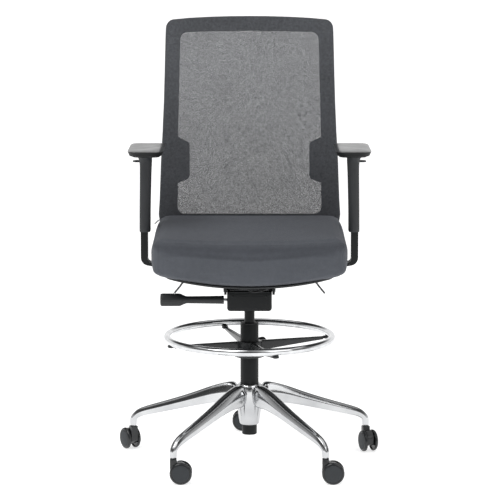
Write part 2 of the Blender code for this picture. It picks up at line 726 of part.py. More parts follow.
def seat_shell(parent):
    """The dished plastic pan under the cushion."""
    shape = bmesh.new()
    bmesh.ops.create_grid(shape, x_segments=12, y_segments=8, size=1)
    for corner in shape.verts:
        u = corner.co.x
        v = corner.co.y
        pinch = 1 - 0.10 * abs(v) ** 6
        x = u * SHELL_HALF * pinch
        depth = (SHELL_REAR - SHELL_FRONT) / 2
        y = (SHELL_FRONT + SHELL_REAR) / 2 + v * depth * (1 - 0.05 * abs(u) ** 6)
        corner.co = (x, y, shell_foot(x))
    made = from_bmesh("seat_shell", shape)
    thick = made.modifiers.new("pan_thickness", "SOLIDIFY")
    thick.thickness = SHELL_THICK
    thick.offset = 1
    return finish(made, parent, "black_plastic")


def seat_cushion(parent):
    """The upholstered cushion: a soft block over the pan, with a waterfall front."""
    shape = bmesh.new()
    bmesh.ops.create_cube(shape, size=2)
    bmesh.ops.subdivide_edges(shape, edges=shape.edges, cuts=5, use_grid_fill=True)
    for corner in shape.verts:
        u, v, w = corner.co
        plan = 1 - 0.06 * abs(v) ** 8
        x = u * CUSHION_HALF * plan
        depth = (CUSHION_REAR - CUSHION_FRONT) / 2
        y = (CUSHION_FRONT + CUSHION_REAR) / 2 + v * depth * (1 - 0.03 * abs(u) ** 8)
        foot = shell_foot(x) + SHELL_THICK + 0.0015
        top = CUSHION_TOP - 0.006 * (1 - v) / 2 - 0.010 * abs(u) ** 4
        corner.co = (x, y, foot + (top - foot) * (w + 1) / 2)
    made = from_bmesh("seat_cushion", shape)
    soften(made, CUSHION_EDGE, 3, 40)
    return finish(made, parent, "seat_fabric")


def wire_lever(name, sign, parent):
    """A wire lever under the seat, with the barrel that it pivots on."""
    barrel_length = 0.012
    route = smooth_route([
        (sign * (LEVER_X + 0.002), LEVER_Y, LEVER_Z + 0.002),
        (sign * (LEVER_X + 0.042), LEVER_Y - 0.006, LEVER_Z + 0.003),
        (sign * (LEVER_X + 0.068), LEVER_Y - 0.016, LEVER_Z + 0.003),
        (sign * (LEVER_X + 0.080), LEVER_Y - 0.032, LEVER_Z - 0.008),
        (sign * (LEVER_X + 0.0935), LEVER_Y - 0.050, LEVER_Z - 0.022),
    ], 4)
    made = as_mesh(wire(name, route, WIRE_RADIUS))
    join(made, rod(name + "_barrel", LEVER_BARREL, (sign * LEVER_X, LEVER_Y - barrel_length / 2, LEVER_Z),
                   (sign * LEVER_X, LEVER_Y + barrel_length / 2, LEVER_Z), 16))
    return finish(made, parent, "steel")


def control_cable(name, sign, front, lowest, parent):
    """A control cable that loops in front of the mechanism, from its lever to the far side."""
    route = smooth_route([
        (sign * (LEVER_X - LEVER_BARREL - CABLE_RADIUS - 0.001), LEVER_Y, LEVER_Z - 0.001),
        (sign * 0.080, front + 0.001, LEVER_Z - 0.005), (sign * 0.052, front, lowest + 0.010),
        (sign * 0.017, front, lowest), (sign * -0.012, front, lowest + 0.010),
        (sign * -0.027, front + 0.003, lowest + 0.019),
        (sign * -0.034, PLATE_FRONT - 0.003, PLATE_TOP - 0.003),
    ], 3)
    return finish(wire(name, route, CABLE_RADIUS), parent, "cable_jacket")


# ---------------------------------------------------------------- back

def back_front(z):
    """Y of the back's front face at a height: straight at the foot, then curving rearward."""
    above = z - BACK_Z
    return BACK_Y + BACK_SLOPE * above + BACK_BEND * max(above, 0) ** 2


def bend_back(made, offset):
    """Slice a flat upright piece into bands and lay it along the back's curve."""
    shape = bmesh.new()
    shape.from_mesh(made.data)
    shape.transform(made.matrix_world)
    bands = 9
    for i in range(1, bands):
        height = BACK_Z + (FRAME_TOP - BACK_Z) * i / bands
        geometry = shape.verts[:] + shape.edges[:] + shape.faces[:]
        bmesh.ops.bisect_plane(shape, geom=geometry, plane_co=(0, 0, height), plane_no=(0, 0, 1),
                               dist=0.0000001)
    for corner in shape.verts:
        corner.co.y += back_front(corner.co.z) + offset
    shape.to_mesh(made.data)
    shape.free()
    made.location = (0, 0, 0)
    made.rotation_euler = (0, 0, 0)
    return made


def back_outline(inset):
    """The back's outer edge, drawn in by an inset."""
    return both_sides([
        (0.240 - inset, FRAME_FOOT + inset, 0), (0.257 - inset, FRAME_FOOT + 0.014 + inset / 2, 0.008),
        (0.261 - inset, BACK_Z, 0), (0.256 - inset, BACK_Z + 0.041, 0), (0.251 - inset, BACK_Z + 0.152, 0),
        (0.243 - inset, BACK_Z + 0.319, 0), (0.2385 - inset, FRAME_TOP - 0.045, 0),
        (0.236 - inset, FRAME_TOP - 0.011 - inset, 0.024), (0.110, FRAME_TOP - 0.002 - inset, 0),
        (0, FRAME_TOP - inset, 0),
    ])


def back_frame(parent):
    outer = back_outline(0)
    tongue = [(TONGUE_HALF, TONGUE_FOOT, 0.010), (TONGUE_HALF, FRAME_FOOT, 0)]
    outer = tongue + outer + [(-x, z, r) for x, z, r in reversed(tongue)]
    opening = both_sides([
        (0.2045, BACK_Z, 0.020), (0.2035, BACK_Z + 0.088, 0.004), (WING_X, BACK_Z + 0.102, 0.014),
        (WING_X, BACK_Z + 0.200, 0.014), (0.2035, BACK_Z + 0.216, 0.004), (0.2025, BACK_Z + 0.319, 0),
        (0.1995, FRAME_TOP - 0.085, 0), (0.1990, FRAME_TOP - 0.045, 0.020), (0, FRAME_TOP - 0.041, 0),
    ])
    made = plate("back_frame", [rounded(outer), rounded(opening)], FRAME_THICK, rotation=FACING_Y)
    bend_back(made, MESH_THICK + GAP + FRAME_THICK / 2)
    soften(made, 0.003, 1, 50)
    return finish(made, parent, "frame_plastic")


def back_mesh(parent):
    made = plate("back_mesh", [rounded(back_outline(0.0025))], MESH_THICK, rotation=FACING_Y)
    bend_back(made, MESH_THICK / 2)
    return finish(made, parent, "back_mesh")


def back_bar(parent):
    """The bent bar from the mechanism's rear pivot up to the back."""
    behind = MESH_THICK + GAP + FRAME_THICK + RUNNING * 2
    foot = RECLINE_PIN_Z - BAR_THICK / 2
    shelf = foot + BAR_THICK
    thick = BAR_THICK * math.hypot(1, BACK_SLOPE)
    side = rounded([
        (RECLINE_PIN_Y, foot, 0), (back_front(foot) + behind + thick, foot, 0.050),
        (back_front(BAR_TOP) + behind + thick, BAR_TOP, 0.003),
        (back_front(BAR_TOP) + behind, BAR_TOP, 0.003),
        (back_front(shelf) + behind, shelf, 0.041), (RECLINE_PIN_Y, shelf, 0),
    ], 8)
    made = plate("back_bar", [side], 2 * BAR_HALF, rotation=FACING_X)
    join(made, rod("bar_eye", 0.012, (-BAR_HALF, RECLINE_PIN_Y, RECLINE_PIN_Z),
                   (BAR_HALF, RECLINE_PIN_Y, RECLINE_PIN_Z), 24))
    cut(made, rod("bar_hole", RECLINE_PIN_RADIUS + RUNNING, (-0.1, RECLINE_PIN_Y, RECLINE_PIN_Z),
                  (0.1, RECLINE_PIN_Y, RECLINE_PIN_Z)))
    return finish(made, parent, "black_steel")


def back_height_lever(parent):
    """The wire lever behind the back's left foot that frees its height."""
    off = MESH_THICK + GAP + FRAME_THICK + WIRE_RADIUS + 0.0008
    route = smooth_route([
        (x, back_front(BACK_LEVER_Z + rise) + off, BACK_LEVER_Z + rise)
        for x, rise in ((BACK_LEVER_X, 0), (-0.150, 0.001), (-0.235, 0.005), (-0.256, 0), (-0.270, -0.011))
    ], 4)
    return finish(wire("back_height_lever", route, WIRE_RADIUS), parent, "steel")


# ---------------------------------------------------------------- arms

def arm_bracket(name, sign, parent):
    """The arm's bar under the seat pan and the post that turns up from it."""
    slope = 2 * SHELL_DISH * BRACKET_TOUCH_X / SHELL_HALF ** 2
    touch = shell_foot(BRACKET_TOUCH_X) - GAP

    def top(x):
        return touch + slope * (x - BRACKET_TOUCH_X)

    inner = POST_X - POST_WIDTH / 2
    outer = inner + POST_WIDTH
    side = rounded([
        (BRACKET_INNER_X, top(BRACKET_INNER_X) - BRACKET_THICK, 0.003),
        (outer, top(outer) - BRACKET_THICK, 0.022), (outer, POST_TOP, 0.002), (inner, POST_TOP, 0.002),
        (inner, top(inner), 0.010), (BRACKET_INNER_X, top(BRACKET_INNER_X), 0.003),
    ], 6)
    side = [Vector((sign * p.x, p.y)) for p in side]
    made = plate(name, [side], POST_DEPTH, (0, ARM_Y, 0), FACING_Y)
    soften(made, 0.003, 2)
    return finish(made, parent, "black_steel")


def arm_sleeve(name, sign, parent):
    """The moulded sleeve that rides on the post, with a head for the pad."""
    x = sign * POST_X
    height = SLEEVE_TOP - SLEEVE_FOOT
    made = plate(name, [rectangle(SLEEVE_WIDTH, SLEEVE_DEPTH, 0.013)], height,
                 (x, ARM_Y, SLEEVE_FOOT + height / 2))
    head_x = SLEEVE_WIDTH / 2 + 0.006
    head_y = SLEEVE_DEPTH / 2 + 0.011
    head = box(name + "_head", (x - head_x, ARM_Y - head_y, SLEEVE_TOP - SLEEVE_ROOF),
               (x + head_x, ARM_Y + head_y, SLEEVE_TOP))
    soften(head, 0.004, 2)
    join(made, head)
    roof = SLEEVE_TOP - SLEEVE_ROOF
    hollow = rectangle(POST_WIDTH + 2 * RUNNING, POST_DEPTH + 2 * RUNNING, 0.001, 1)
    cavity = plate(name + "_cavity", [hollow], roof - SLEEVE_FOOT + 0.01,
                   (x, ARM_Y, (SLEEVE_FOOT - 0.01 + roof) / 2))
    cut(made, cavity)
    slot_half = TRIGGER_WIDTH / 2 + 0.001
    outside = sign * (POST_X + SLEEVE_WIDTH)
    inside = sign * (POST_X + POST_WIDTH / 2 - 0.0035)
    cut(made, box(name + "_slot", (min(outside, inside), ARM_Y - slot_half, TRIGGER_Z - TRIGGER_THICK),
                  (max(outside, inside), ARM_Y + slot_half, TRIGGER_Z + TRIGGER_THICK + TRIGGER_TRAVEL)))
    cut(made, rod(name + "_pivot_hole", PIVOT_RADIUS + RUNNING,
                  (x, ARM_Y, SLEEVE_TOP - PIVOT_DEPTH - RUNNING), (x, ARM_Y, SLEEVE_TOP + 0.01)))
    return finish(made, parent, "frame_plastic")


def arm_trigger(name, sign, parent):
    inner = sign * (POST_X - POST_WIDTH / 2 + 0.002)
    outer = sign * (POST_X + SLEEVE_WIDTH / 2 + TRIGGER_REACH)
    made = box(name, (min(inner, outer), ARM_Y - TRIGGER_WIDTH / 2, TRIGGER_Z - TRIGGER_THICK / 2),
               (max(inner, outer), ARM_Y + TRIGGER_WIDTH / 2, TRIGGER_Z + TRIGGER_THICK / 2))
    soften(made, 0.0015, 2)
    return finish(made, parent, "black_plastic")


def arm_pad_base(name, sign, parent):
    x = sign * POST_X
    foot = SLEEVE_TOP + GAP
    made = plate(name, [rectangle(PAD_WIDTH - 0.028, PAD_LENGTH - 0.060, 0.020)], PAD_BASE_THICK - GAP,
                 (sign * PAD_X, ARM_Y, foot + (PAD_BASE_THICK - GAP) / 2))
    join(made, rod(name + "_pivot", PIVOT_RADIUS, (x, ARM_Y, SLEEVE_TOP - PIVOT_DEPTH),
                   (x, ARM_Y, foot + 0.002)))
    return finish(made, parent, "black_plastic")


def arm_pad(name, sign, parent):
    foot = SLEEVE_TOP + PAD_BASE_THICK + GAP
    made = plate(name, [rectangle(PAD_WIDTH, PAD_LENGTH, 0.032, 6)], PAD_THICK,
                 (sign * PAD_X, ARM_Y - PAD_FORWARD, foot + PAD_THICK / 2))
    soften(made, 0.0045, 2)
    return finish(made, parent, "pad_urethane")


def arm(side, sign, parent):
    name = "arm_" + side
    width = empty(name + "_width", (sign * POST_X, ARM_Y, shell_foot(BRACKET_TOUCH_X)), parent)
    arm_bracket(name + "_bracket", sign, width)
    lift = empty(name + "_lift", (sign * POST_X, ARM_Y, SLEEVE_FOOT), width)
    arm_sleeve(name + "_sleeve", sign, lift)
    inner = sign * (POST_X - POST_WIDTH / 2 + 0.003)
    squeeze = empty(name + "_trigger_axis", (inner, ARM_Y, TRIGGER_Z), lift)
    arm_trigger(name + "_trigger", sign, squeeze)
    pivot = empty(name + "_pad_pivot", (sign * POST_X, ARM_Y, SLEEVE_TOP), lift)
    arm_pad_base(name + "_pad_base", sign, pivot)
    shift = empty(name + "_pad_shift", (sign * PAD_X, ARM_Y, SLEEVE_TOP + PAD_BASE_THICK), pivot)
    arm_pad(name + "_pad", sign, shift)


# ---------------------------------------------------------------- the chair

def build():
    root = empty("chair", (0, 0, 0))
    star_base(root)
    for number in range(1, len(LEG_ANGLES) + 1):
        caster(number, root)
    column(root)
    foot_ring(empty("foot_ring_height", (0, 0, RING_HEIGHT), root))

    swivel = empty("column_swivel", (0, 0, COLUMN_FOOT), root)
    piston_rod(swivel)
    lift = empty("seat_lift", (0, 0, HOUSING_FOOT), swivel)
    gas_cylinder(lift)
    mechanism(lift)
    tension_knob(empty("tension_axis", (-HOUSING_HALF, KNOB_Y, KNOB_Z), lift))

    tilt = empty("seat_tilt", (0, TILT_PIN_Y, TILT_PIN_Z), lift)
    seat_plate(tilt)
    seat_shell(tilt)
    seat_cushion(tilt)
    for name, sign in (("height", -1), ("tilt", 1)):
        axis = empty(name + "_lever_axis", (sign * LEVER_X, LEVER_Y, LEVER_Z), tilt)
        wire_lever(name + "_lever", sign, axis)
    control_cable("tilt_cable", 1, PLATE_FRONT - 0.0135, PLATE_TOP - 0.0287, tilt)
    control_cable("height_cable", -1, PLATE_FRONT - 0.0075, PLATE_TOP - 0.0217, tilt)
    arm("left", 1, tilt)
    arm("right", -1, tilt)

    recline = empty("recline", (0, RECLINE_PIN_Y, RECLINE_PIN_Z), lift)
    back_bar(recline)
    back_lift = empty("back_height", (0, back_front(BAR_TOP), BAR_TOP), recline)
    back_frame(back_lift)
    back_mesh(back_lift)
    lever_y = back_front(BACK_LEVER_Z) + MESH_THICK + GAP + FRAME_THICK
    back_height_lever(empty("back_lever_axis", (BACK_LEVER_X, lever_y, BACK_LEVER_Z), back_lift))

    bpy.context.view_layer.update()
    root.location = (0, -FRAME_Y, 0)


clear_scene()
PARTS = collection(NAME)
CUTTERS = collection("cutters")
build()
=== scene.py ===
"""The finished look of the drafting chair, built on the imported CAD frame.

Every size is in metres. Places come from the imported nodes' boxes. The chair faces -Y, and +X is the
sitter's left.
"""
import math

import bmesh
import bpy
from mathutils import Matrix, Vector


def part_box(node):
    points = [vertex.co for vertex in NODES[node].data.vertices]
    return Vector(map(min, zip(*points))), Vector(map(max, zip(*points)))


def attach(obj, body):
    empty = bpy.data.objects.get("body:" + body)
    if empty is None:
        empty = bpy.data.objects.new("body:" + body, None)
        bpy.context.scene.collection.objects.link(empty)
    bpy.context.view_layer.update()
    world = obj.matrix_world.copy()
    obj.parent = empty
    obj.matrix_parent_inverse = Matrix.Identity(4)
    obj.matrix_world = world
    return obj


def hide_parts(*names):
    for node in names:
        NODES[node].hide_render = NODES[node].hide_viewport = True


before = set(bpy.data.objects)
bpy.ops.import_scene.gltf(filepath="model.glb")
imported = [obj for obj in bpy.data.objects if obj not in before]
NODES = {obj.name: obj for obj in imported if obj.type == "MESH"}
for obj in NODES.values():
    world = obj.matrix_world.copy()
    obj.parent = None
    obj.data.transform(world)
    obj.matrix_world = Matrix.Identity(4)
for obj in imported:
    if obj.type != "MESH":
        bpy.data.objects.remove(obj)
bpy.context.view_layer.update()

SIDES = (("left", 1), ("right", -1))
CASTERS = range(1, 6)
LEG_ANGLES = (18, 90, 162, 234, 306)
SPOKE_ANGLES = (18, 108, 198, 288)

# The back, as the CAD model curves it: straight at the foot, then bending rearward
BACK_FOOT = 0.650
BACK_SLOPE = 0.14
BACK_BEND = 0.072
BACK_FRONT = 0.205     # Y of the mesh's front face at BACK_FOOT, in the row frame


# ---------------------------------------------------------------- places

def middle(node):
    low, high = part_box(node)
    return (low + high) / 2


COLUMN = middle("column_tube").xy.to_3d()


def from_column(x, y, z):
    """A place given from the column's axis, with heights from the floor."""
    return Vector((COLUMN.x + x, COLUMN.y + y, z))


# ---------------------------------------------------------------- materials

class Nodes:
    """A small helper that adds and links shader nodes."""

    def __init__(self, name):
        self.material = bpy.data.materials.new(name)
        self.material.use_nodes = True
        self.tree = self.material.node_tree
        self.shader = self.tree.nodes["Principled BSDF"]
        self.output = self.tree.nodes["Material Output"]
        self.place = self.add("ShaderNodeTexCoord").outputs["Object"]

    def add(self, kind, **settings):
        node = self.tree.nodes.new(kind)
        for key, value in settings.items():
            setattr(node, key, value)
        return node

    def link(self, source, target):
        self.tree.links.new(source, target)

    def set(self, **values):
        """Set the shader's own sockets, such as roughness=0.4."""
        for key, value in values.items():
            self.shader.inputs[key.replace("_", " ").title().replace("Ior", "IOR")].default_value = value

    def math(self, operation, first, second=None, third=None):
        node = self.add("ShaderNodeMath", operation=operation)
        for socket, value in zip(node.inputs, (first, second, third)):
            if value is None:
                continue
            if isinstance(value, (int, float)):
                socket.default_value = value
            else:
                self.link(value, socket)
        return node.outputs[0]

    def noise(self, scale, detail=2.0, roughness=0.5, stretch=None):
        node = self.add("ShaderNodeTexNoise")
        node.inputs["Scale"].default_value = scale
        node.inputs["Detail"].default_value = detail
        node.inputs["Roughness"].default_value = roughness
        source = self.place
        if stretch:
            mapping = self.add("ShaderNodeMapping")
            mapping.inputs["Scale"].default_value = stretch
            self.link(self.place, mapping.inputs["Vector"])
            source = mapping.outputs[0]
        self.link(source, node.inputs["Vector"])
        return node.outputs["Fac"]

    def ramp(self, value, low, high, low_at=0.0, high_at=1.0):
        """Map a value between two places to two numbers or colours."""
        if isinstance(low, (int, float)):
            node = self.add("ShaderNodeMapRange")
            node.inputs["From Min"].default_value = low_at
            node.inputs["From Max"].default_value = high_at
            node.inputs["To Min"].default_value = low
            node.inputs["To Max"].default_value = high
            self.link(value, node.inputs["Value"])
            return node.outputs[0]
        node = self.add("ShaderNodeValToRGB")
        node.color_ramp.elements[0].position = low_at
        node.color_ramp.elements[0].color = low
        node.color_ramp.elements[1].position = high_at
        node.color_ramp.elements[1].color = high
        self.link(value, node.inputs["Fac"])
        return node.outputs["Color"]

    def colour(self, source):
        self.link(source, self.shader.inputs["Base Color"])

    def roughness(self, source):
        self.link(source, self.shader.inputs["Roughness"])

    def tinted(self, base, tint):
        """One colour multiplied by another."""
        node = self.add("ShaderNodeMix", data_type="RGBA", blend_type="MULTIPLY")
        node.inputs["Factor"].default_value = 1.0
        self.link(base, node.inputs["A"])
        self.link(tint, node.inputs["B"])
        return node.outputs["Result"]

    def bump(self, height, distance, strength=1.0):
        node = self.add("ShaderNodeBump")
        node.inputs["Strength"].default_value = strength
        node.inputs["Distance"].default_value = distance
        self.link(height, node.inputs["Height"])
        self.link(node.outputs[0], self.shader.inputs["Normal"])


def srgb(red, green, blue):
    return tuple(((c / 255 + 0.055) / 1.055) ** 2.4 for c in (red, green, blue)) + (1.0,)


def shade(colour, factor):
    return tuple(c * factor for c in colour[:3]) + (1.0,)


def polished_aluminium():
    """Die-cast aluminium, polished: a bright metal with a slow ripple and fine buffing lines."""
    n = Nodes("polished_aluminium")
    n.set(metallic=1.0)
    slow = n.noise(9, 3)
    fine = n.noise(60, 4, stretch=(1, 1, 9))
    n.colour(n.ramp(slow, srgb(184, 185, 187), srgb(216, 217, 218), 0.3, 0.7))
    n.roughness(n.ramp(fine, 0.07, 0.17, 0.3, 0.75))
    n.bump(n.math("ADD", n.math("MULTIPLY", slow, 0.8), n.math("MULTIPLY", fine, 0.05)), 0.0009, 0.35)
    return n.material


def chrome():
    """Bright chrome plate with faint polishing haze."""
    n = Nodes("chrome")
    n.set(metallic=1.0)
    haze = n.noise(35, 3)
    n.colour(n.ramp(haze, srgb(204, 205, 207), srgb(224, 225, 226), 0.3, 0.7))
    n.roughness(n.ramp(haze, 0.03, 0.08, 0.35, 0.75))
    n.bump(n.noise(14, 2), 0.0002, 0.3)
    return n.material


def steel():
    """Zinc-plated wire and bar: a soft grey metal with fine drawn lines."""
    n = Nodes("zinc_steel")
    n.set(metallic=1.0)
    grain = n.noise(400, 4)
    n.colour(n.ramp(grain, srgb(150, 152, 154), srgb(196, 197, 198), 0.3, 0.7))
    n.roughness(n.ramp(grain, 0.24, 0.42, 0.3, 0.7))
    n.bump(grain, 0.00005, 0.5)
    return n.material


def powder_coat(name, colour, low, high, grain=900, depth=0.00008, coat=0.0):
    """Black powder coat: orange-peel texture, with edges rubbed slightly paler."""
    n = Nodes(name)
    n.set(metallic=0.0, coat_weight=coat, coat_roughness=0.12, specular_ior_level=0.22)
    peel = n.noise(grain, 3)
    cloud = n.noise(22, 3)
    worn = n.add("ShaderNodeNewGeometry").outputs["Pointiness"]
    rubbed = n.ramp(worn, 0.0, 0.35, 0.52, 0.60)
    mixed = n.add("ShaderNodeMix", data_type="RGBA")
    n.link(rubbed, mixed.inputs["Factor"])
    n.link(n.ramp(cloud, shade(colour, 0.86), shade(colour, 1.12), 0.3, 0.7), mixed.inputs["A"])
    mixed.inputs["B"].default_value = shade(colour, 1.9)
    n.colour(mixed.outputs["Result"])
    n.roughness(n.ramp(cloud, low, high, 0.3, 0.7))
    n.bump(peel, depth, 0.6)
    return n.material


def moulded_plastic(name, colour, low, high, grain=1400, depth=0.00006, gloss=0.5):
    """Spark-textured moulded plastic."""
    n = Nodes(name)
    n.set(specular_ior_level=gloss)
    texture = n.add("ShaderNodeTexVoronoi")
    texture.inputs["Scale"].default_value = grain
    n.link(n.place, texture.inputs["Vector"])
    cloud = n.noise(30, 3)
    n.colour(n.ramp(cloud, shade(colour, 0.90), shade(colour, 1.10), 0.3, 0.7))
    n.roughness(n.ramp(cloud, low, high, 0.3, 0.7))
    n.bump(texture.outputs["Distance"], depth, 0.6)
    return n.material


def weave_height(n, pitch):
    """A plain weave that reads on faces of any direction, 0 to 1."""
    split = n.add("ShaderNodeSeparateXYZ")
    n.link(n.place, split.inputs[0])
    x, y, z = split.outputs
    wave = 2 * math.pi / pitch
    along = n.math("SINE", n.math("MULTIPLY", n.math("ADD", x, z), wave))
    across = n.math("SINE", n.math("MULTIPLY", n.math("ADD", y, n.math("MULTIPLY", z, 0.999)), wave))
    return n.math("MULTIPLY_ADD", n.math("MULTIPLY", along, across), 0.5, 0.5)


def seat_fabric():
    """Grey woven upholstery: mixed yarns, a plain weave and a soft sheen, with painted shade darkening the faces that
    slope between top and side, such as the waterfall crest.
    """
    n = Nodes("seat_fabric")
    n.set(roughness=0.95, sheen_weight=0.08, sheen_roughness=0.5, specular_ior_level=0.2)
    weave = weave_height(n, 0.0016)
    yarn = n.noise(900, 3)
    slub = n.noise(70, 4, 0.6)
    cloud = n.noise(6, 2)
    tone = n.math("ADD", n.math("MULTIPLY", weave, 0.30), n.math("MULTIPLY", yarn, 0.45))
    tone = n.math("ADD", tone, n.math("MULTIPLY", slub, 0.25))
    base = srgb(86, 89, 95)
    fibres = n.ramp(tone, shade(base, 0.70), shade(base, 1.30), 0.25, 0.75)
    mixed = n.tinted(fibres, n.ramp(cloud, (0.93, 0.93, 0.93, 1), (1.05, 1.05, 1.05, 1), 0.3, 0.7))
    # Painted shade: faces sloping between up and sideways, such as the waterfall crest, are darkened by up to a
    # quarter.
    split = n.add("ShaderNodeSeparateXYZ")
    n.link(n.add("ShaderNodeNewGeometry").outputs["Normal"], split.inputs[0])
    crest_painted_shade = n.math("MULTIPLY", split.outputs[2], n.math("SUBTRACT", 1.0, split.outputs[2]))
    n.colour(n.tinted(mixed, n.ramp(crest_painted_shade, (1, 1, 1, 1), (0.74, 0.74, 0.75, 1), 0.05, 0.25)))
    n.bump(n.math("ADD", weave, n.math("MULTIPLY", yarn, 0.6)), 0.0004, 0.6)
    return n.material


MESH_PITCH = 0.0023


def mesh_fabric(name, colour, opening):
    """Knitted mesh: rows of small staggered holes between grey yarns, painted darker towards the bottom as shade."""
    n = Nodes(name)
    n.set(roughness=0.85, sheen_weight=0.1, specular_ior_level=0.3)
    split = n.add("ShaderNodeSeparateXYZ")
    n.link(n.place, split.inputs[0])
    x, y, z = split.outputs
    wave = 2 * math.pi / MESH_PITCH
    across = n.math("MULTIPLY", x, wave)
    up = n.math("MULTIPLY", z, wave)
    cell = n.math("ADD", n.math("COSINE", n.math("ADD", across, up)),
                  n.math("COSINE", n.math("SUBTRACT", across, up)))
    yarn = n.noise(1100, 2)
    knit = n.math("ADD", cell, n.math("MULTIPLY", n.math("SUBTRACT", yarn, 0.5), 0.5))
    cloud = n.noise(5, 2)
    fleck = n.noise(150, 3, 0.75)
    fibres = n.ramp(n.math("ADD", n.math("MULTIPLY", fleck, 0.7), n.math("MULTIPLY", cloud, 0.3)),
                    shade(colour, 0.66), shade(colour, 1.34), 0.34, 0.66)
    # Painted shade: the mesh's colour darkens towards the foot of the back, where the seat and arms shade it.
    painted_lower_shade = n.ramp(z, 0.0, 1.0, 0.66, 1.12)
    n.colour(n.tinted(fibres, n.ramp(painted_lower_shade, (0.60, 0.60, 0.61, 1), (1, 1, 1, 1))))
    n.bump(n.math("MULTIPLY", cell, -0.25), 0.0005, 0.5)
    uneven = n.math("MULTIPLY", n.math("SUBTRACT", fleck, 0.5), 1.5)
    hole = n.math("GREATER_THAN", n.math("ADD", knit, uneven), opening)
    clear = n.add("ShaderNodeBsdfTransparent")
    mixed = n.add("ShaderNodeMixShader")
    n.link(hole, mixed.inputs[0])
    n.link(n.shader.outputs[0], mixed.inputs[1])
    n.link(clear.outputs[0], mixed.inputs[2])
    n.link(mixed.outputs[0], n.output.inputs["Surface"])
    return n.material


def pad_urethane():
    """Self-skinned urethane: a soft satin skin with a fine leathery grain."""
    n = Nodes("pad_urethane")
    n.set(coat_weight=0.50, coat_roughness=0.26, specular_ior_level=0.7)
    grain = n.add("ShaderNodeTexVoronoi")
    grain.inputs["Scale"].default_value = 750
    n.link(n.place, grain.inputs["Vector"])
    cloud = n.noise(25, 3)
    n.colour(n.ramp(cloud, srgb(26, 27, 28), srgb(35, 36, 37), 0.3, 0.7))
    n.roughness(n.ramp(cloud, 0.28, 0.38, 0.3, 0.7))
    n.bump(grain.outputs["Distance"], 0.00005, 0.4)
    return n.material


# ---------------------------------------------------------------- mesh tools

def placed(name, data):
    """A new object of some data, in the scene."""
    made = bpy.data.objects.new(name, data)
    bpy.context.scene.collection.objects.link(made)
    return made


def smoothed(data, sharp):
    """Smooth shading, except over edges sharper than an angle in degrees."""
    data.shade_smooth()
    data.set_sharp_from_angle(angle=math.radians(sharp))


def from_bmesh(name, shape, sharp=40):
    data = bpy.data.meshes.new(name)
    bmesh.ops.recalc_face_normals(shape, faces=shape.faces)
    shape.to_mesh(data)
    shape.free()
    smoothed(data, sharp)
    return placed(name, data)


def dress(made, surface, body, *stands_for, slot=None):
    """Give a piece its material and body, and hide the CAD nodes that it stands for."""
    if surface:
        made.data.materials.clear()
        made.data.materials.append(surface)
    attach(made, body)
    if stands_for:
        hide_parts(*stands_for)
    return made


def apply_modifiers(made):
    """Make a piece's modifiers part of its mesh."""
    bpy.context.view_layer.update()
    evaluated = made.evaluated_get(bpy.context.evaluated_depsgraph_get())
    data = bpy.data.meshes.new_from_object(evaluated)
    made.modifiers.clear()
    made.data = data
    return made


def bevelled(made, width, segments=3, angle=35, sharp=40):
    bevel = made.modifiers.new("edges", "BEVEL")
    bevel.width = width
    bevel.segments = segments
    bevel.limit_method = "ANGLE"
    bevel.angle_limit = math.radians(angle)
    bevel.harden_normals = False
    apply_modifiers(made)
    smoothed(made.data, sharp)
    return made


def cut(made, tools, sharp):
    """Cut a piece by others, which are used up."""
    for tool in tools:
        boolean = made.modifiers.new("cut", "BOOLEAN")
        boolean.object = tool
        boolean.solver = "EXACT"
    apply_modifiers(made)
    for tool in tools:
        bpy.data.objects.remove(tool, do_unlink=True)
    smoothed(made.data, sharp)


def sliced(shape, levels):
    """Add edges to a mesh where level planes cross it."""
    for level in levels:
        bmesh.ops.bisect_plane(shape, geom=shape.verts[:] + shape.edges[:] + shape.faces[:], plane_co=(0, 0, level),
                               plane_no=(0, 0, 1), dist=0.0000001)


def stitched(shape, loops):
    """Faces between closed loops of points, the last joined to the first."""
    count = len(loops[0])
    for one, two in zip(loops, loops[1:] + loops[:1]):
        for i in range(count):
            j = (i + 1) % count
            shape.faces.new((one[i], two[i], two[j], one[j]))


def subdivided(made, levels):
    sub = made.modifiers.new("smooth", "SUBSURF")
    sub.levels = levels
    sub.render_levels = levels
    apply_modifiers(made)
    made.data.shade_smooth()
    return made


def aim(direction, origin):
    """The transform that lays local Z along a direction from a place."""
    turn = Vector(direction).to_track_quat("Z", "Y").to_matrix().to_4x4()
    return Matrix.Translation(origin) @ turn


def lathe(name, profile, place, sides=64, ring=False, sharp=35, surfaces=None):
    """A turned piece from (radius, height) points down its outer side. surfaces gives each band's slot."""
    shape = bmesh.new()
    loops = []
    for radius, height in profile:
        if radius < 1e-6:
            loops.append([shape.verts.new((0, 0, height))])
            continue
        loops.append([shape.verts.new((radius * math.cos(2 * math.pi * i / sides),
                                       radius * math.sin(2 * math.pi * i / sides), height))
                      for i in range(sides)])
    pairs = list(zip(loops, loops[1:]))
    if ring:
        pairs.append((loops[-1], loops[0]))
    for band, (upper, lower) in enumerate(pairs):
        slot = surfaces[band] if surfaces else 0
        for i in range(sides):
            j = (i + 1) % sides
            if len(upper) == 1:
                corners = (upper[0], lower[i], lower[j])
            elif len(lower) == 1:
                corners = (upper[i], lower[0], upper[j])
            else:
                corners = (upper[i], lower[i], lower[j], upper[j])
            shape.faces.new(corners).material_index = slot
    bmesh.ops.transform(shape, matrix=place, verts=shape.verts)
    return from_bmesh(name, shape, sharp)


def loft(name, rings, closed=True, caps=True, sharp=40):
    """A skin over rings of matching points."""
    shape = bmesh.new()
    loops = [[shape.verts.new(p) for p in ring] for ring in rings]
    count = len(loops[0])
    for one, two in zip(loops, loops[1:]):
        for i in range(count if closed else count - 1):
            j = (i + 1) % count
            shape.faces.new((one[i], one[j], two[j], two[i]))
    if caps:
        shape.faces.new(loops[0])
        shape.faces.new(list(reversed(loops[-1])))
    return from_bmesh(name, shape, sharp)


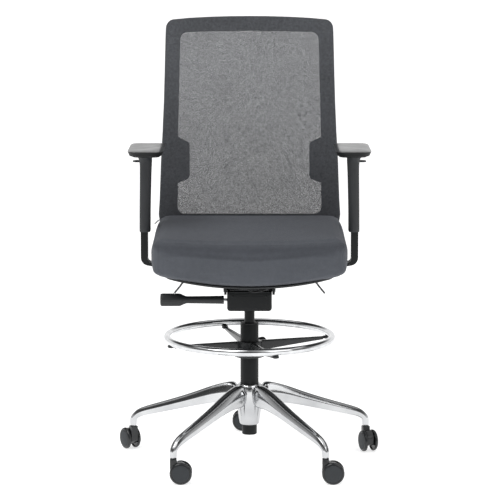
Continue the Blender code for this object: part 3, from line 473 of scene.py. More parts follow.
def arc_corner(corner, before, after, radius, steps):
    to_before = (before - corner).normalized()
    to_after = (after - corner).normalized()
    half = to_before.angle(to_after) / 2
    centre = corner + (to_before + to_after).normalized() * (radius / math.sin(half))
    first = corner + to_before * (radius / math.tan(half)) - centre
    last = corner + to_after * (radius / math.tan(half)) - centre
    sweep = -first.angle_signed(last)
    return [centre + Matrix.Rotation(sweep * i / steps, 2) @ first for i in range(steps + 1)]


def rounded(corners, steps=8):
    """An outline from (x, y, corner radius) points."""
    points = []
    for i, (x, y, radius) in enumerate(corners):
        if radius == 0:
            points.append(Vector((x, y)))
            continue
        before = Vector(corners[i - 1][:2])
        after = Vector(corners[(i + 1) % len(corners)][:2])
        points.extend(arc_corner(Vector((x, y)), before, after, radius, steps))
    return points


def rectangle(width, height, radius, steps=8):
    x = width / 2
    y = height / 2
    return rounded([(x, -y, radius), (x, y, radius), (-x, y, radius), (-x, -y, radius)], steps)


def both_sides(right):
    return right + [(-x, y, radius) for x, y, radius in reversed(right) if x > 0]


def slab(name, outlines, thickness, place, edge=0.0, segments=3, sharp=40):
    """A flat piece around its mid plane, placed by a transform, with rounded edges."""
    curve = bpy.data.curves.new(name, "CURVE")
    curve.dimensions = "2D"
    curve.fill_mode = "BOTH"
    curve.extrude = thickness / 2
    for outline in outlines:
        spline = curve.splines.new("POLY")
        spline.points.add(len(outline) - 1)
        for point, at in zip(spline.points, outline):
            point.co = (at.x, at.y, 0, 1)
        spline.use_cyclic_u = True
    source = placed(name + "_outline", curve)
    bpy.context.view_layer.update()
    data = bpy.data.meshes.new_from_object(source.evaluated_get(bpy.context.evaluated_depsgraph_get()))
    bpy.data.objects.remove(source, do_unlink=True)
    shape = bmesh.new()
    shape.from_mesh(data)
    bmesh.ops.remove_doubles(shape, verts=shape.verts, dist=0.000001)
    bmesh.ops.dissolve_limit(shape, angle_limit=0.001, verts=shape.verts, edges=shape.edges)
    bmesh.ops.transform(shape, matrix=place, verts=shape.verts)
    made = from_bmesh(name, shape, sharp)
    if edge:
        bevelled(made, edge, segments, 50, sharp)
    return made


UPRIGHT = Matrix.Rotation(math.pi / 2, 4, "X")                                     # X, Y to X, Z
SIDEWAYS = Matrix.Rotation(math.pi / 2, 4, "Z") @ Matrix.Rotation(math.pi / 2, 4, "X")   # X, Y to Y, Z


def block(name, low, high, edge=0.0, segments=3):
    """A rounded block between two corners."""
    low = Vector(low)
    high = Vector(high)
    shape = bmesh.new()
    bmesh.ops.create_cube(shape, size=1)
    bmesh.ops.scale(shape, vec=high - low, verts=shape.verts)
    bmesh.ops.translate(shape, vec=(low + high) / 2, verts=shape.verts)
    made = from_bmesh(name, shape)
    if edge:
        bevelled(made, edge, segments)
    return made


def smooth_route(knots, steps=8):
    """Points on a smooth curve through the knots."""
    knots = [Vector(k) for k in knots]
    padded = [knots[0] * 2 - knots[1]] + knots + [knots[-1] * 2 - knots[-2]]
    points = []
    for before, start, end, after in zip(padded, padded[1:], padded[2:], padded[3:]):
        for i in range(steps):
            t = i / steps
            points.append(0.5 * (2 * start + (end - before) * t
                                 + (2 * before - 5 * start + 4 * end - after) * t ** 2
                                 + (3 * start - before - 3 * end + after) * t ** 3))
    return points + [knots[-1]]


def tube(name, points, radius, closed=False, resolution=6):
    """A round wire, cord or rail as a curve."""
    curve = bpy.data.curves.new(name, "CURVE")
    curve.dimensions = "3D"
    curve.bevel_depth = radius
    curve.bevel_resolution = resolution
    curve.use_fill_caps = True
    spline = curve.splines.new("POLY")
    spline.points.add(len(points) - 1)
    for point, at in zip(spline.points, points):
        point.co = (*at, 1)
    spline.use_cyclic_u = closed
    spline.use_smooth = True
    return placed(name, curve)


def joined(name, pieces):
    """Several pieces made into one object."""
    shape = bmesh.new()
    for piece in pieces:
        if piece.type == "CURVE":
            bpy.context.view_layer.update()
            data = bpy.data.meshes.new_from_object(piece.evaluated_get(bpy.context.evaluated_depsgraph_get()))
        else:
            data = piece.data
        shape.from_mesh(data)
        bpy.data.objects.remove(piece, do_unlink=True)
    data = bpy.data.meshes.new(name)
    shape.to_mesh(data)
    shape.free()
    smoothed(data, 40)
    return placed(name, data)


def screw_head(name, place, radius=0.004, height=0.002):
    """A domed socket screw head, with local Z outward."""
    return lathe(name, [
        (0, height * 0.45), (radius * 0.42, height * 0.45), (radius * 0.46, height), (radius * 0.80, height * 0.9),
        (radius, height * 0.45), (radius, -0.0005), (0, -0.0005),
    ], place, sides=20)


# ---------------------------------------------------------------- base and casters

def leg_ring(centre, turn, half_height, half_width, angle):
    """One cross-section of a leg: a flat ridge on top, shoulders, a crease and a narrower foot."""
    section = [
        (0.42, 1.00), (0.66, 0.86), (0.98, 0.20), (1.00, 0.06), (0.93, -0.02), (0.74, -0.80), (0.58, -1.00),
        (-0.58, -1.00), (-0.74, -0.80), (-0.93, -0.02), (-1.00, 0.06), (-0.98, 0.20), (-0.66, 0.86), (-0.42, 1.00),
    ]
    up = Vector((math.sin(turn), math.cos(turn)))
    out = Matrix.Rotation(math.radians(angle), 3, "Z")
    points = []
    for across, high in section:
        radial = centre[0] + up.x * high * half_height
        level = centre[1] + up.y * high * half_height
        points.append(COLUMN + out @ Vector((radial, across * half_width, level)))
    return points


def star_base(surface):
    """The polished five-leg casting."""
    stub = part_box("star_base")[0].z
    reach = (middle("caster_2_stem") - COLUMN).xy.length
    stations = [
        ((0.030, 0.186), 0.10, 0.0340, 0.0205), ((0.062, 0.1825), 0.20, 0.0310, 0.0198),
        ((0.100, 0.1775), 0.34, 0.0250, 0.0185), ((0.150, 0.1615), 0.36, 0.0198, 0.0165),
        ((0.205, 0.1445), 0.32, 0.0168, 0.0147), ((0.262, 0.1275), 0.32, 0.0146, 0.0130),
        ((0.305, 0.1150), 0.33, 0.0130, 0.0117), ((0.322, 0.1085), 0.55, 0.0122, 0.0111),
        ((0.335, 0.0995), 0.95, 0.0112, 0.0104), ((reach - 0.001, 0.0900), 1.35, 0.0102, 0.0098),
        ((reach, 0.0810), 1.55, 0.0096, 0.0094), ((reach, stub + 0.0030), 1.5708, 0.0092, 0.0091),
        ((reach, stub + 0.0003), 1.5708, 0.0084, 0.0084),
    ]
    pieces = []
    for number, angle in enumerate(LEG_ANGLES, 1):
        rings = [leg_ring(centre, turn, tall, wide, angle) for centre, turn, tall, wide in stations]
        leg = loft(f"leg_{number}", rings, sharp=180)
        pieces.append(subdivided(leg, 2))
    shape = bmesh.new()
    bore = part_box("column_tube")[1].x + 0.0004
    levels = [
        (bore, 0.2135), (0.0290, 0.2140), (0.0325, 0.2110), (0.0350, 0.2000), (0.0360, 0.1860), (0.0350, 0.1700),
        (0.0335, 0.1560), (0.0324, 0.1430), (0.0305, 0.1280), (0.0286, 0.1130), (0.0270, 0.1035),
        (0.0265, 0.1012), (0.0255, 0.1000), (0.0212, 0.0999), (0.0212, 0.1030), (bore, 0.1090),
    ]
    sides = 120
    loops = []
    for radius, level in levels:
        flute = 0.0014 if 0.110 < level < 0.170 else 0.0
        ring = []
        for i in range(sides):
            turn = 2 * math.pi * i / sides
            swell = radius + flute * math.cos(5 * (turn - math.radians(LEG_ANGLES[0])))
            ring.append(shape.verts.new(COLUMN + Vector((swell * math.cos(turn), swell * math.sin(turn), level))))
        loops.append(ring)
    stitched(shape, loops)
    pieces.append(from_bmesh("hub", shape, 40))
    dress(joined("star_base_casting", pieces), surface, "base", "star_base", slot="polished_aluminium")


def caster(number, gloss, matte, metal):
    """A twin-wheel caster with a moulded body, domed wheels and a steel stem."""
    name = f"caster_{number}"
    stem = middle(name + "_stem")
    hub = middle(name + "_axle")
    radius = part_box(name + "_wheel_left")[1].z / 2
    trail = (hub - stem).xy.to_3d().normalized()
    axle = Vector((-trail.y, trail.x, 0))
    centre = Vector((hub.x, hub.y, radius))
    half_body = 0.0102
    w = 0.0108             # a wheel's width
    for side, sign in SIDES:
        outward = axle * sign
        place = aim(outward, centre + outward * (half_body + 0.0006))
        wheel = lathe(f"{name}_wheel_{side}_moulding", [
            (0, w + 0.0002), (0.007, w + 0.0001), (0.015, w - 0.0001), (0.0205, w - 0.0006), (0.0226, w - 0.0012),
            (0.0230, w - 0.0021), (0.0236, w - 0.0021), (0.0240, w - 0.0012), (0.0262, w - 0.0015),
            (0.0282, w - 0.0029), (0.0295, w - 0.0050), (radius, w - 0.0070), (radius, 0.0018),
            (radius - 0.0006, 0.0007), (radius - 0.0016, 0.0002), (0.0262, 0.0002), (0.0256, 0.0030),
            (0.0125, 0.0030), (0.0118, 0.0002),
            (0.0045, 0.0002), (0.0045, 0.0060), (0, 0.0060),
        ], place, sides=64, sharp=30, surfaces=[1, 1, 1, 1, 1, 0, 0] + [0] * 14)
        dress(wheel, None, f"{name}_{side}", f"{name}_wheel_{side}", slot="caster_plastic")
        wheel.data.materials.append(gloss)
        wheel.data.materials.append(matte)
    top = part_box(name + "_housing")[1].z
    side_place = Matrix((
        (trail.x, 0, -axle.x, stem.x), (trail.y, 0, -axle.y, stem.y), (0, 1, 0, 0), (0, 0, 0, 1)))
    reach = (hub - stem).xy.length
    outline = rounded([
        (-0.0088, top, 0.001), (-0.0088, 0.026, 0.006), (0.004, 0.0165, 0.006), (reach - 0.001, 0.0135, 0.006),
        (reach + 0.022, 0.022, 0.008), (reach + 0.022, 0.044, 0.012), (reach + 0.006, radius * 2 - 0.0012, 0.012),
        (0.0095, radius * 2 - 0.0012, 0.0015), (0.0088, top, 0.001),
    ], 6)
    body = slab(name + "_body", [outline], half_body * 2 - 0.001, side_place, 0.0022, 3)
    boss = lathe(name + "_boss", [
        (0, top), (0.0082, top), (0.0090, top - 0.0008), (0.0093, top - 0.012), (0.0080, top - 0.022), (0, top - 0.022),
    ], Matrix.Translation((stem.x, stem.y, 0)), 40)
    dress(joined(name + "_moulded_body", [body, boss]), gloss, name, name + "_housing", slot="caster_plastic")
    for node in (name + "_stem", name + "_axle"):
        keep(node, metal)


def keep(node, surface):
    """A CAD node whose shape is right keeps it, with a better material."""
    made = NODES[node]
    made.data.materials.clear()
    made.data.materials.append(surface)


# ---------------------------------------------------------------- column and foot ring

def column(black, plastic, metal):
    low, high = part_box("column_tube")
    radius = high.x
    tail = radius - 0.0045
    wall = 0.0028
    place = Matrix.Translation(COLUMN)
    tube_wall = lathe("column_outer_tube", [
        (radius - wall, high.z), (radius - 0.0010, high.z), (radius - 0.0003, high.z - 0.0003),
        (radius, high.z - 0.0010), (radius, 0.1080), (tail, 0.1018), (tail, low.z + 0.0012),
        (tail - 0.0010, low.z), (0.0116, low.z), (0.0116, low.z + 0.004), (tail - wall, low.z + 0.004),
        (tail - wall, 0.1045), (radius - wall, 0.1110),
    ], place, 72, ring=True)
    dress(tube_wall, black, "base", "column_tube", slot="black_steel")
    low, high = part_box("guide_bush")
    outer = high.x
    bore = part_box("gas_cylinder")[1].x + 0.0005
    bush = lathe("column_guide_bush", [
        (bore, high.z - 0.0006), (bore + 0.0006, high.z), (outer - 0.0012, high.z), (outer, high.z - 0.0010),
        (outer, high.z - 0.0026), (outer - 0.0020, high.z - 0.0026), (outer - 0.0020, low.z), (bore, low.z),
    ], place, 64, ring=True)
    dress(bush, plastic, "base", "guide_bush", slot="black_plastic")
    low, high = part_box("gas_cylinder")
    radius = high.x
    lift = lathe("gas_spring_cylinder", [
        (0, high.z), (radius - 0.002, high.z), (radius, high.z - 0.012), (radius, low.z + 0.001),
        (radius - 0.001, low.z), (0.0056, low.z), (0.0056, low.z + 0.012), (radius - 0.0025, low.z + 0.012),
        (radius - 0.0025, high.z - 0.008), (0, high.z - 0.008),
    ], place, 64)
    dress(lift, black, "mechanism", "gas_cylinder", slot="black_steel")
    keep("piston_rod", metal)
    keep("thrust_bearing", metal)
    clip = []
    for i in range(28):
        turn = math.radians(-150 + 300 * i / 27)
        clip.append(COLUMN + Vector((0.0072 * math.cos(turn), 0.0072 * math.sin(turn),
                                     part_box("column_tube")[0].z + 0.0006)))
    dress(tube("retaining_clip", clip, 0.0005), metal, "base", slot="steel")


def foot_ring(bright, black, plastic, metal):
    low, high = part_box("foot_ring")
    tube_radius = (high.z - low.z) / 2 * 1.004
    big = (high.x - low.x) / 2 - tube_radius
    level = (low.z + high.z) / 2
    shape = bmesh.new()
    around, section = 160, 28
    loops = []
    for i in range(around):
        turn = 2 * math.pi * i / around
        ring = []
        for j in range(section):
            roll = 2 * math.pi * j / section
            r = big + tube_radius * math.cos(roll)
            ring.append(shape.verts.new(COLUMN + Vector((r * math.cos(turn), r * math.sin(turn),
                                                         level + tube_radius * math.sin(roll)))))
        loops.append(ring)
    stitched(shape, loops)
    dress(from_bmesh("foot_ring_tube", shape, 180), bright, "ring", "foot_ring", slot="chrome")

    low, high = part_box("ring_hub")
    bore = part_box("column_tube")[1].x + 0.0006
    top = high.z - 0.001
    hub = lathe("ring_collar", [
        (bore, top + 0.0009), (bore + 0.0012, top + 0.0010), (0.0315, top + 0.0010), (0.0336, top - 0.0004),
        (0.0340, top - 0.0020), (0.0340, low.z + 0.0085), (0.0350, low.z + 0.0068), (0.0415, low.z + 0.0062),
        (0.0430, low.z + 0.0048), (0.0430, low.z + 0.0012), (0.0420, low.z), (bore, low.z),
    ], Matrix.Translation(COLUMN), 72, ring=True)
    pieces = [hub]
    for number, angle in enumerate(SPOKE_ANGLES, 1):
        turn = math.radians(angle)
        rings = []
        for share in (0.0, 0.08, 0.25, 0.5, 0.75, 0.94, 1.0):
            r = 0.030 + (big - 0.012 - 0.030) * share
            tall = 0.030 + (0.009 - 0.030) * share ** 0.85
            half = 0.0072 - 0.0014 * share
            crown = top - 0.0002
            section_points = [
                (half * 0.55, crown), (half, crown - 0.0022), (half * 0.94, crown - tall * 0.5),
                (half * 0.72, crown - tall + 0.0012), (half * 0.35, crown - tall),
                (-half * 0.35, crown - tall), (-half * 0.72, crown - tall + 0.0012),
                (-half * 0.94, crown - tall * 0.5), (-half, crown - 0.0022), (-half * 0.55, crown),
            ]
            rings.append([COLUMN + Matrix.Rotation(turn, 3, "Z") @ Vector((r, y, z)) for y, z in section_points])
        spoke = loft(f"spoke_{number}", rings, sharp=32)
        pieces.append(bevelled(spoke, 0.0008, 2, 30))
    dress(joined("foot_ring_spider", pieces), black, "ring", "ring_hub", slot="black_steel")
    for number, angle in enumerate(SPOKE_ANGLES, 1):
        out = Matrix.Rotation(math.radians(angle), 4, "Z")
        place = Matrix.Translation(COLUMN) @ out
        cap = slab(f"ring_cap_{number}", [rectangle(0.0180, 0.0160, 0.004, 6)], 0.0065,
                   place @ Matrix.Translation((big - 0.0025, 0, top - 0.0030)), 0.0014, 3)
        dress(cap, plastic, "ring", slot="black_plastic")
        under = Matrix.Translation((big - 0.0025, 0, top - 0.00625)) @ Matrix.Rotation(math.pi, 4, "X")
        head = screw_head(f"ring_screw_{number}", place @ under)
        dress(head, metal, "ring", slot="steel")

    low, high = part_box("ring_knob")
    turn = math.radians(50)
    outward = Vector((math.cos(turn), math.sin(turn), 0))
    origin = COLUMN + outward * 0.034 + Vector((0, 0, (low.z + high.z) / 2))
    sides = 72
    profile = [(0, 0.0268), (0.0085, 0.0268), (0.0112, 0.0262), (0.0122, 0.0250), (0.0122, 0.0120), (0.0112, 0.0108),
               (0.0068, 0.0062), (0.0068, 0.0018), (0.0040, 0.0018), (0.0040, -0.0068), (0, -0.0068)]
    knob = lathe("ring_clamp_knob", profile, Matrix.Identity(4), sides)
    for corner in knob.data.vertices:
        flat = Vector((corner.co.x, corner.co.y))
        if flat.length > 0.011 and corner.co.z > 0.010:
            angle = math.atan2(flat.y, flat.x)
            flat *= 1 - 0.05 * max(0.0, math.cos(12 * angle))
            corner.co.x = flat.x
            corner.co.y = flat.y
    knob.data.transform(aim(outward, origin))
    dress(knob, plastic, "ring_clamp", "ring_knob", slot="black_plastic")


# ---------------------------------------------------------------- mechanism

CASE_TOP = 0.484
CASE_WALL = 0.0075
LEVER_Z = 0.5125       # the axis of both levers' barrels


def mechanism(black, plastic, metal):
    low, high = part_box("mechanism_housing")
    top = CASE_TOP
    half = high.x
    shell = block("mechanism_case", (-half + 0.0002, low.y + 0.0003, low.z), (half - 0.0002, high.y - 0.0003, top),
                  0.0088, 5)
    cavity = block("case_cavity", (-half + CASE_WALL, low.y + 0.008, low.z + 0.0055),
                   (half - CASE_WALL, high.y - 0.008, top + 0.02))
    slot_y = high.y - 0.03
    bar_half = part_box("back_bar")[1].x + 0.004
    slot = block("case_bar_slot", (-bar_half, slot_y, low.z + 0.0056), (bar_half, high.y + 0.02, top + 0.01))
    cut(shell, (cavity, slot), 35)
    pin = middle("tilt_pin")
    pieces = [shell]
    for sign in (-1, 1):
        outer = sign * half
        inner = sign * (half - CASE_WALL)
        ear = slab("ear", [rounded([(pin.y - 0.012, top - 0.01, 0), (pin.y + 0.012, top - 0.01, 0),
                                    (pin.y + 0.012, pin.z + 0.0098, 0.006),
                                    (pin.y - 0.012, pin.z + 0.0098, 0.006)], 6)],
                   0.0072, Matrix.Translation(((outer + inner) / 2, 0, 0)) @ SIDEWAYS, 0.0008, 2)
        pieces.append(ear)
    socket = lathe("socket", [
        (0.0145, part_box("gas_cylinder")[1].z), (0.0200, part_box("gas_cylinder")[1].z + 0.0030),
        (0.0218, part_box("gas_cylinder")[1].z + 0.0010), (0.0218, low.z + 0.006), (0.0145, low.z + 0.006),
    ], Matrix.Translation(COLUMN), 48, ring=True)
    pieces.append(socket)
    collar = lathe("case_collar", [
        (0.0146, low.z + 0.0020), (0.0225, low.z + 0.0020), (0.0225, low.z + 0.0004), (0.0205, low.z),
        (0.0146, low.z),
    ], Matrix.Translation(COLUMN), 48, ring=True)
    pieces.append(collar)
    dress(joined("mechanism_casting", pieces), black, "mechanism", "mechanism_housing", slot="black_steel")

    face = low.y - 0.0001
    lip = slab("mechanism_front_lip", [rounded([
        (-half + 0.004, top - 0.0005, 0.002), (-half + 0.004, top - 0.0045, 0.002), (half - 0.004, top - 0.0045, 0.002),
        (half - 0.004, top - 0.0005, 0.002)], 4)], 0.0030,
        Matrix.Translation((0, face - 0.0005, 0)) @ UPRIGHT, 0.0008, 2)
    dress(lip, black, "mechanism", slot="black_steel")
    for number, (x, z) in enumerate(((-0.046, 0.470), (0.046, 0.470)), 1):
        head = screw_head(f"case_screw_{number}", aim((0, -1, 0), (x, face, z)), 0.0035, 0.0014)
        dress(head, black, "mechanism", slot="black_steel")
    rib_z = low.z + 0.041
    rib = slab("mechanism_front_rib", [rounded([
        (-half + 0.010, rib_z, 0.0006), (half - 0.010, rib_z, 0.0006), (half - 0.010, rib_z + 0.0014, 0.0006),
        (-half + 0.010, rib_z + 0.0014, 0.0006)], 3)], 0.0010,
        Matrix.Translation((0, face - 0.0002, 0)) @ UPRIGHT, 0.0003, 1)
    dress(rib, black, "mechanism", slot="black_steel")

    keep("tilt_pin", metal)
    keep("recline_pin", metal)
    low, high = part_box("tension_spring")
    centre = (low + high) / 2
    radius = (high.x - low.x) / 2 - 0.0015
    turns, steps = 7, 24
    coil = []
    for i in range(turns * steps + 1):
        turn = 2 * math.pi * i / steps
        coil.append((centre.x + radius * math.cos(turn),
                     low.y + 0.0015 + (high.y - low.y - 0.003) * i / (turns * steps),
                     centre.z + radius * math.sin(turn)))
    dress(tube("tilt_spring_coil", coil, 0.0015, resolution=4), metal, "mechanism", "tension_spring", slot="steel")


def tension_handle(grip, metal):
    """The turned handle on the chair's right, with grip flutes on the knob."""
    low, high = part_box("tension_knob")
    centre = (low + high) / 2
    length = high.x - low.x - 0.020
    origin = Vector((low.x + length, centre.y, centre.z))
    shaft_start = 0.0085
    knob = lathe("tension_grip", [
        (0, length - 0.0003), (0.010, length - 0.0004), (0.0150, length - 0.0010), (0.0168, length - 0.0030),
        (0.0174, length - 0.0070), (0.0174, 0.1300), (0.0166, 0.1265), (0.0132, 0.1190), (0.0104, 0.1125),
        (0.0098, 0.1080), (0.0103, 0.060), (0.0112, 0.0105), (0.0106, shaft_start), (0, shaft_start),
    ], Matrix.Identity(4), 96, sharp=50)
    shape = bmesh.new()
    shape.from_mesh(knob.data)
    sliced(shape, (0.140, 0.150, 0.160, 0.168))
    for corner in shape.verts:
        flat = Vector((corner.co.x, corner.co.y))
        if flat.length > 0.0165 and corner.co.z > 0.131:
            angle = math.atan2(flat.y, flat.x)
            flat *= 1 - 0.022 * max(0.0, math.cos(16 * angle)) ** 2
            corner.co.x = flat.x
            corner.co.y = flat.y
    shape.to_mesh(knob.data)
    shape.free()
    knob.data.transform(aim((-1, 0, 0), origin))
    dress(knob, grip, "tension", "tension_knob", slot="black_plastic")
    rod = lathe("tension_rod", [
        (0, shaft_start + 0.001), (0.0040, shaft_start + 0.001), (0.0040, -0.0185), (0.0034, -0.0195), (0, -0.0195),
    ], aim((-1, 0, 0), origin), 32)
    dress(rod, metal, "tension", slot="steel")


def lever(node, sign, metal):
    """A bent wire lever under the seat, with its pivot barrel."""
    low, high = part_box(node)
    barrel_x = low.x + 0.0065 if sign > 0 else high.x - 0.0065
    barrel_y = high.y - 0.006
    start = Vector((barrel_x, barrel_y, LEVER_Z))
    route = smooth_route([
        start + Vector((sign * 0.002, 0, 0.002)), start + Vector((sign * 0.042, -0.006, 0.003)),
        start + Vector((sign * 0.068, -0.016, 0.003)), start + Vector((sign * 0.080, -0.032, -0.008)),
        start + Vector((sign * 0.0935, -0.050, -0.022)),
    ], 10)
    wire = tube(node + "_wire", route, 0.0025)
    tip = lathe(node + "_tip", [(0, 0.0004), (0.0018, 0.0003), (0.0026, -0.0010), (0.0026, -0.0030), (0, -0.0030)],
                aim(route[-1] - route[-2], route[-1]), 24)
    barrel = lathe(node + "_barrel", [
        (0, 0.006), (0.0052, 0.006), (0.0064, 0.005), (0.0064, -0.005), (0.0052, -0.006), (0, -0.006),
    ], aim((0, 1, 0), start), 36)
    made = joined(node + "_bent_wire", [wire, tip, barrel])
    dress(made, metal, node, node, slot="steel")


def cable(node, sign, front, lowest, jacket, metal):
    """A control cable looping in front of the mechanism, with a ferrule at each end."""
    plate_low, plate_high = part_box("seat_plate")
    lever_y = -0.100 + COLUMN.y
    plate_front = plate_low.y
    front = front + COLUMN.y
    route = smooth_route([
        (sign * 0.0985, lever_y, LEVER_Z - 0.001), (sign * 0.080, front + 0.001, LEVER_Z - 0.005),
        (sign * 0.052, front, lowest + 0.010), (sign * 0.017, front, lowest), (sign * -0.012, front, lowest + 0.010),
        (sign * -0.027, front + 0.003, lowest + 0.019), (sign * -0.034, plate_front - 0.003, plate_high.z - 0.003),
    ], 8)
    wire = tube(node + "_jacket", route, 0.0019)
    dress(wire, jacket, "seat", node, slot="cable_jacket")
    for number, (end, toward) in enumerate(((route[0], route[1]), (route[-1], route[-2])), 1):
        ferrule = lathe(f"{node}_ferrule_{number}", [
            (0.0019, 0.0070), (0.0024, 0.0068), (0.0027, 0.0060), (0.0027, 0.0004), (0.0022, 0.0), (0.0019, 0.0),
        ], aim(toward - end, end), 24, ring=True)
        dress(ferrule, metal, "seat", slot="steel")


# ---------------------------------------------------------------- seat

SHELL_HALF = 0.237
SHELL_DISH = 0.0305
SHELL_FOOT = 0.5145


def shell_foot(x):
    return SHELL_FOOT + SHELL_DISH * (x / SHELL_HALF) ** 2


def seat_pan(plastic, metal):
    """The dished moulded pan, with a rolled rim and screws under it."""
    low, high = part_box("seat_shell")
    thick = 0.0078
    shape = bmesh.new()
    across, along = 48, 40
    grid = {}
    for face in (0, 1):
        for i in range(across + 1):
            for j in range(along + 1):
                u = 2 * i / across - 1
                v = 2 * j / along - 1
                x = u * SHELL_HALF * (1 - 0.10 * abs(v) ** 6)
                y = (low.y + high.y) / 2 + v * (high.y - low.y) / 2 * (1 - 0.05 * abs(u) ** 6)
                rim = max(abs(u), abs(v)) ** 24 * 0.0016
                upper = thick * (1 - 0.25 * max(abs(u), abs(v)) ** 30)
                grid[face, i, j] = shape.verts.new((x, y, shell_foot(x) + (upper if face else rim)))
    for face in (0, 1):
        for i in range(across):
            for j in range(along):
                shape.faces.new((grid[face, i, j], grid[face, i + 1, j],
                                 grid[face, i + 1, j + 1], grid[face, i, j + 1]))
    border = ([(i, 0) for i in range(across)] + [(across, j) for j in range(along)]
              + [(i, along) for i in range(across, 0, -1)] + [(0, j) for j in range(along, 0, -1)])
    for (a, b), (c, d) in zip(border, border[1:] + border[:1]):
        shape.faces.new((grid[0, a, b], grid[0, c, d], grid[1, c, d], grid[1, a, b]))
    made = from_bmesh("seat_pan_moulding", shape, 50)
    dress(made, plastic, "seat", "seat_shell", slot="black_plastic")
    centre_y = (low.y + high.y) / 2
    number = 0
    for x in (-0.19, -0.10, 0.10, 0.19):
        for y in (-0.17, 0.17):
            number += 1
            place = aim((0, 0, -1), (x, centre_y + y, shell_foot(x) + 0.0003))
            head = screw_head(f"pan_screw_{number}", place, 0.0045, 0.0016)
            dress(head, metal, "seat", slot="steel")


def clamped(value, low, high):
    return max(low, min(high, value))


def cushion_point(u, v, w, half, low, high):
    """A place on the cushion from a place on a cube: rounded edges, a dished crest and a lip over the pan."""
    back = clamped((v + 0.3) / 1.1, 0.0, 1.0)
    side_round = 0.015 - 0.003 * back
    end_round = 0.026 - 0.016 * back
    top_round = 0.026 - 0.016 * back
    foot_round = 0.014
    tall = 0.050
    x = u * half.x
    y = v * half.y
    z = w * tall
    upper = top_round if w > 0 else foot_round
    inner = Vector((clamped(x, side_round - half.x, half.x - side_round),
                    clamped(y, end_round - half.y, half.y - end_round),
                    clamped(z, foot_round - tall, tall - top_round)))
    off = Vector((x, y, z)) - inner
    if off.length > 1e-9:
        off = Vector((off.x / side_round, off.y / end_round, off.z / upper)).normalized()
        inner += Vector((off.x * side_round, off.y * end_round, off.z * upper))
    u, v, w = inner.x / half.x, inner.y / half.y, inner.z / tall
    rear = clamped(v, 0.0, 1.0)
    front = clamped(-v, 0.0, 1.0)
    plan = 1 - 0.033 * rear ** 2 - 0.012 * front ** 8
    x = inner.x * plan
    y = (high.y + low.y) / 2 + inner.y * (1 - 0.020 * abs(u) ** 6)
    foot = shell_foot(x) + 0.0046
    top = high.z - 0.0025 - 0.004 * front ** 1.7 - 0.002 * abs(u) ** 6
    top -= 0.013 * (1 - u * u) * clamped(0.30 - 0.70 * v, 0.0, 1.0)
    bulge = 0.004 * (1 - w * w) * front ** 8
    return Vector((x, y - bulge, foot + (top - foot) * (w + 1) / 2))


def seat_cushion(fabric):
    """The upholstered cushion: a crowned block with a waterfall front and sewn side panels."""
    low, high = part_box("seat_cushion")
    half = (high - low) / 2 - Vector((0.003, 0.003, 0))
    shape = bmesh.new()
    bmesh.ops.create_cube(shape, size=2)
    bmesh.ops.subdivide_edges(shape, edges=shape.edges, cuts=31, use_grid_fill=True)
    for corner in shape.verts:
        corner.co = cushion_point(*corner.co, half, low, high)
    made = from_bmesh("seat_cushion_cover", shape, 180)
    puffed(made, 0.005, 3.0, 0.002)
    subdivided(made, 1)
    sew_seams(made, half, (low.y + high.y) / 2)
    dress(made, fabric, "seat", "seat_cushion", slot="seat_fabric")
    return made


def puffed(made, voxel, pressure, cap):
    """Fill a form out with a short cloth run, no point moving further than the cap."""
    remesh = made.modifiers.new("voxels", "REMESH")
    remesh.mode = "VOXEL"
    remesh.voxel_size = voxel
    apply_modifiers(made)
    before = [v.co.copy() for v in made.data.vertices]
    cloth = made.modifiers.new("cloth", "CLOTH")
    cloth.settings.use_pressure = True
    cloth.settings.uniform_pressure_force = pressure
    cloth.settings.effector_weights.gravity = 0
    cloth.settings.quality = 5
    scene = bpy.context.scene
    for step in range(1, 16):
        scene.frame_set(step)
    apply_modifiers(made)
    scene.frame_set(1)
    for corner, start in zip(made.data.vertices, before):
        move = corner.co - start
        if move.length > cap:
            corner.co = start + move.normalized() * cap
    return made


def sew_seams(made, half, mid_y):
    """Draw the cover in along the side seams."""
    width = 0.0030
    depth = 0.0020
    for corner in made.data.vertices:
        share = (corner.co.y - mid_y) / half.y
        line = (half.x - 0.0115) * (1 - 0.040 * abs(share) ** 6)
        off = (abs(corner.co.x) - line) / width
        if abs(off) < 3:
            inward = Vector((0, mid_y - corner.co.y, 0.575 - corner.co.z)).normalized()
            corner.co += inward * depth * math.exp(-off * off)


# ---------------------------------------------------------------- back

def back_front(z):
    """Y of the back's front face at a height."""
    above = z - BACK_FOOT
    return BACK_FRONT + BACK_SLOPE * above + BACK_BEND * max(above, 0) ** 2


def bent_back(made, offset, bands=36):
    """Slice an upright piece into bands and lay it along the back's curve."""
    shape = bmesh.new()
    shape.from_mesh(made.data)
    levels = [v.co.z for v in shape.verts]
    low, high = min(levels), max(levels)
    sliced(shape, [low + (high - low) * i / bands for i in range(1, bands)])
    for corner in shape.verts:
        corner.co.y += back_front(corner.co.z) + offset
    shape.to_mesh(made.data)
    shape.free()
    smoothed(made.data, 40)
    return made


MESH_THICK = 0.0012
MESH_GAP = 0.0003
FRAME_DEPTH = 0.016
MESH_INSET = 0.0030    # how far the mesh stays inside the frame's outline
LEVER_GAP = 0.0008


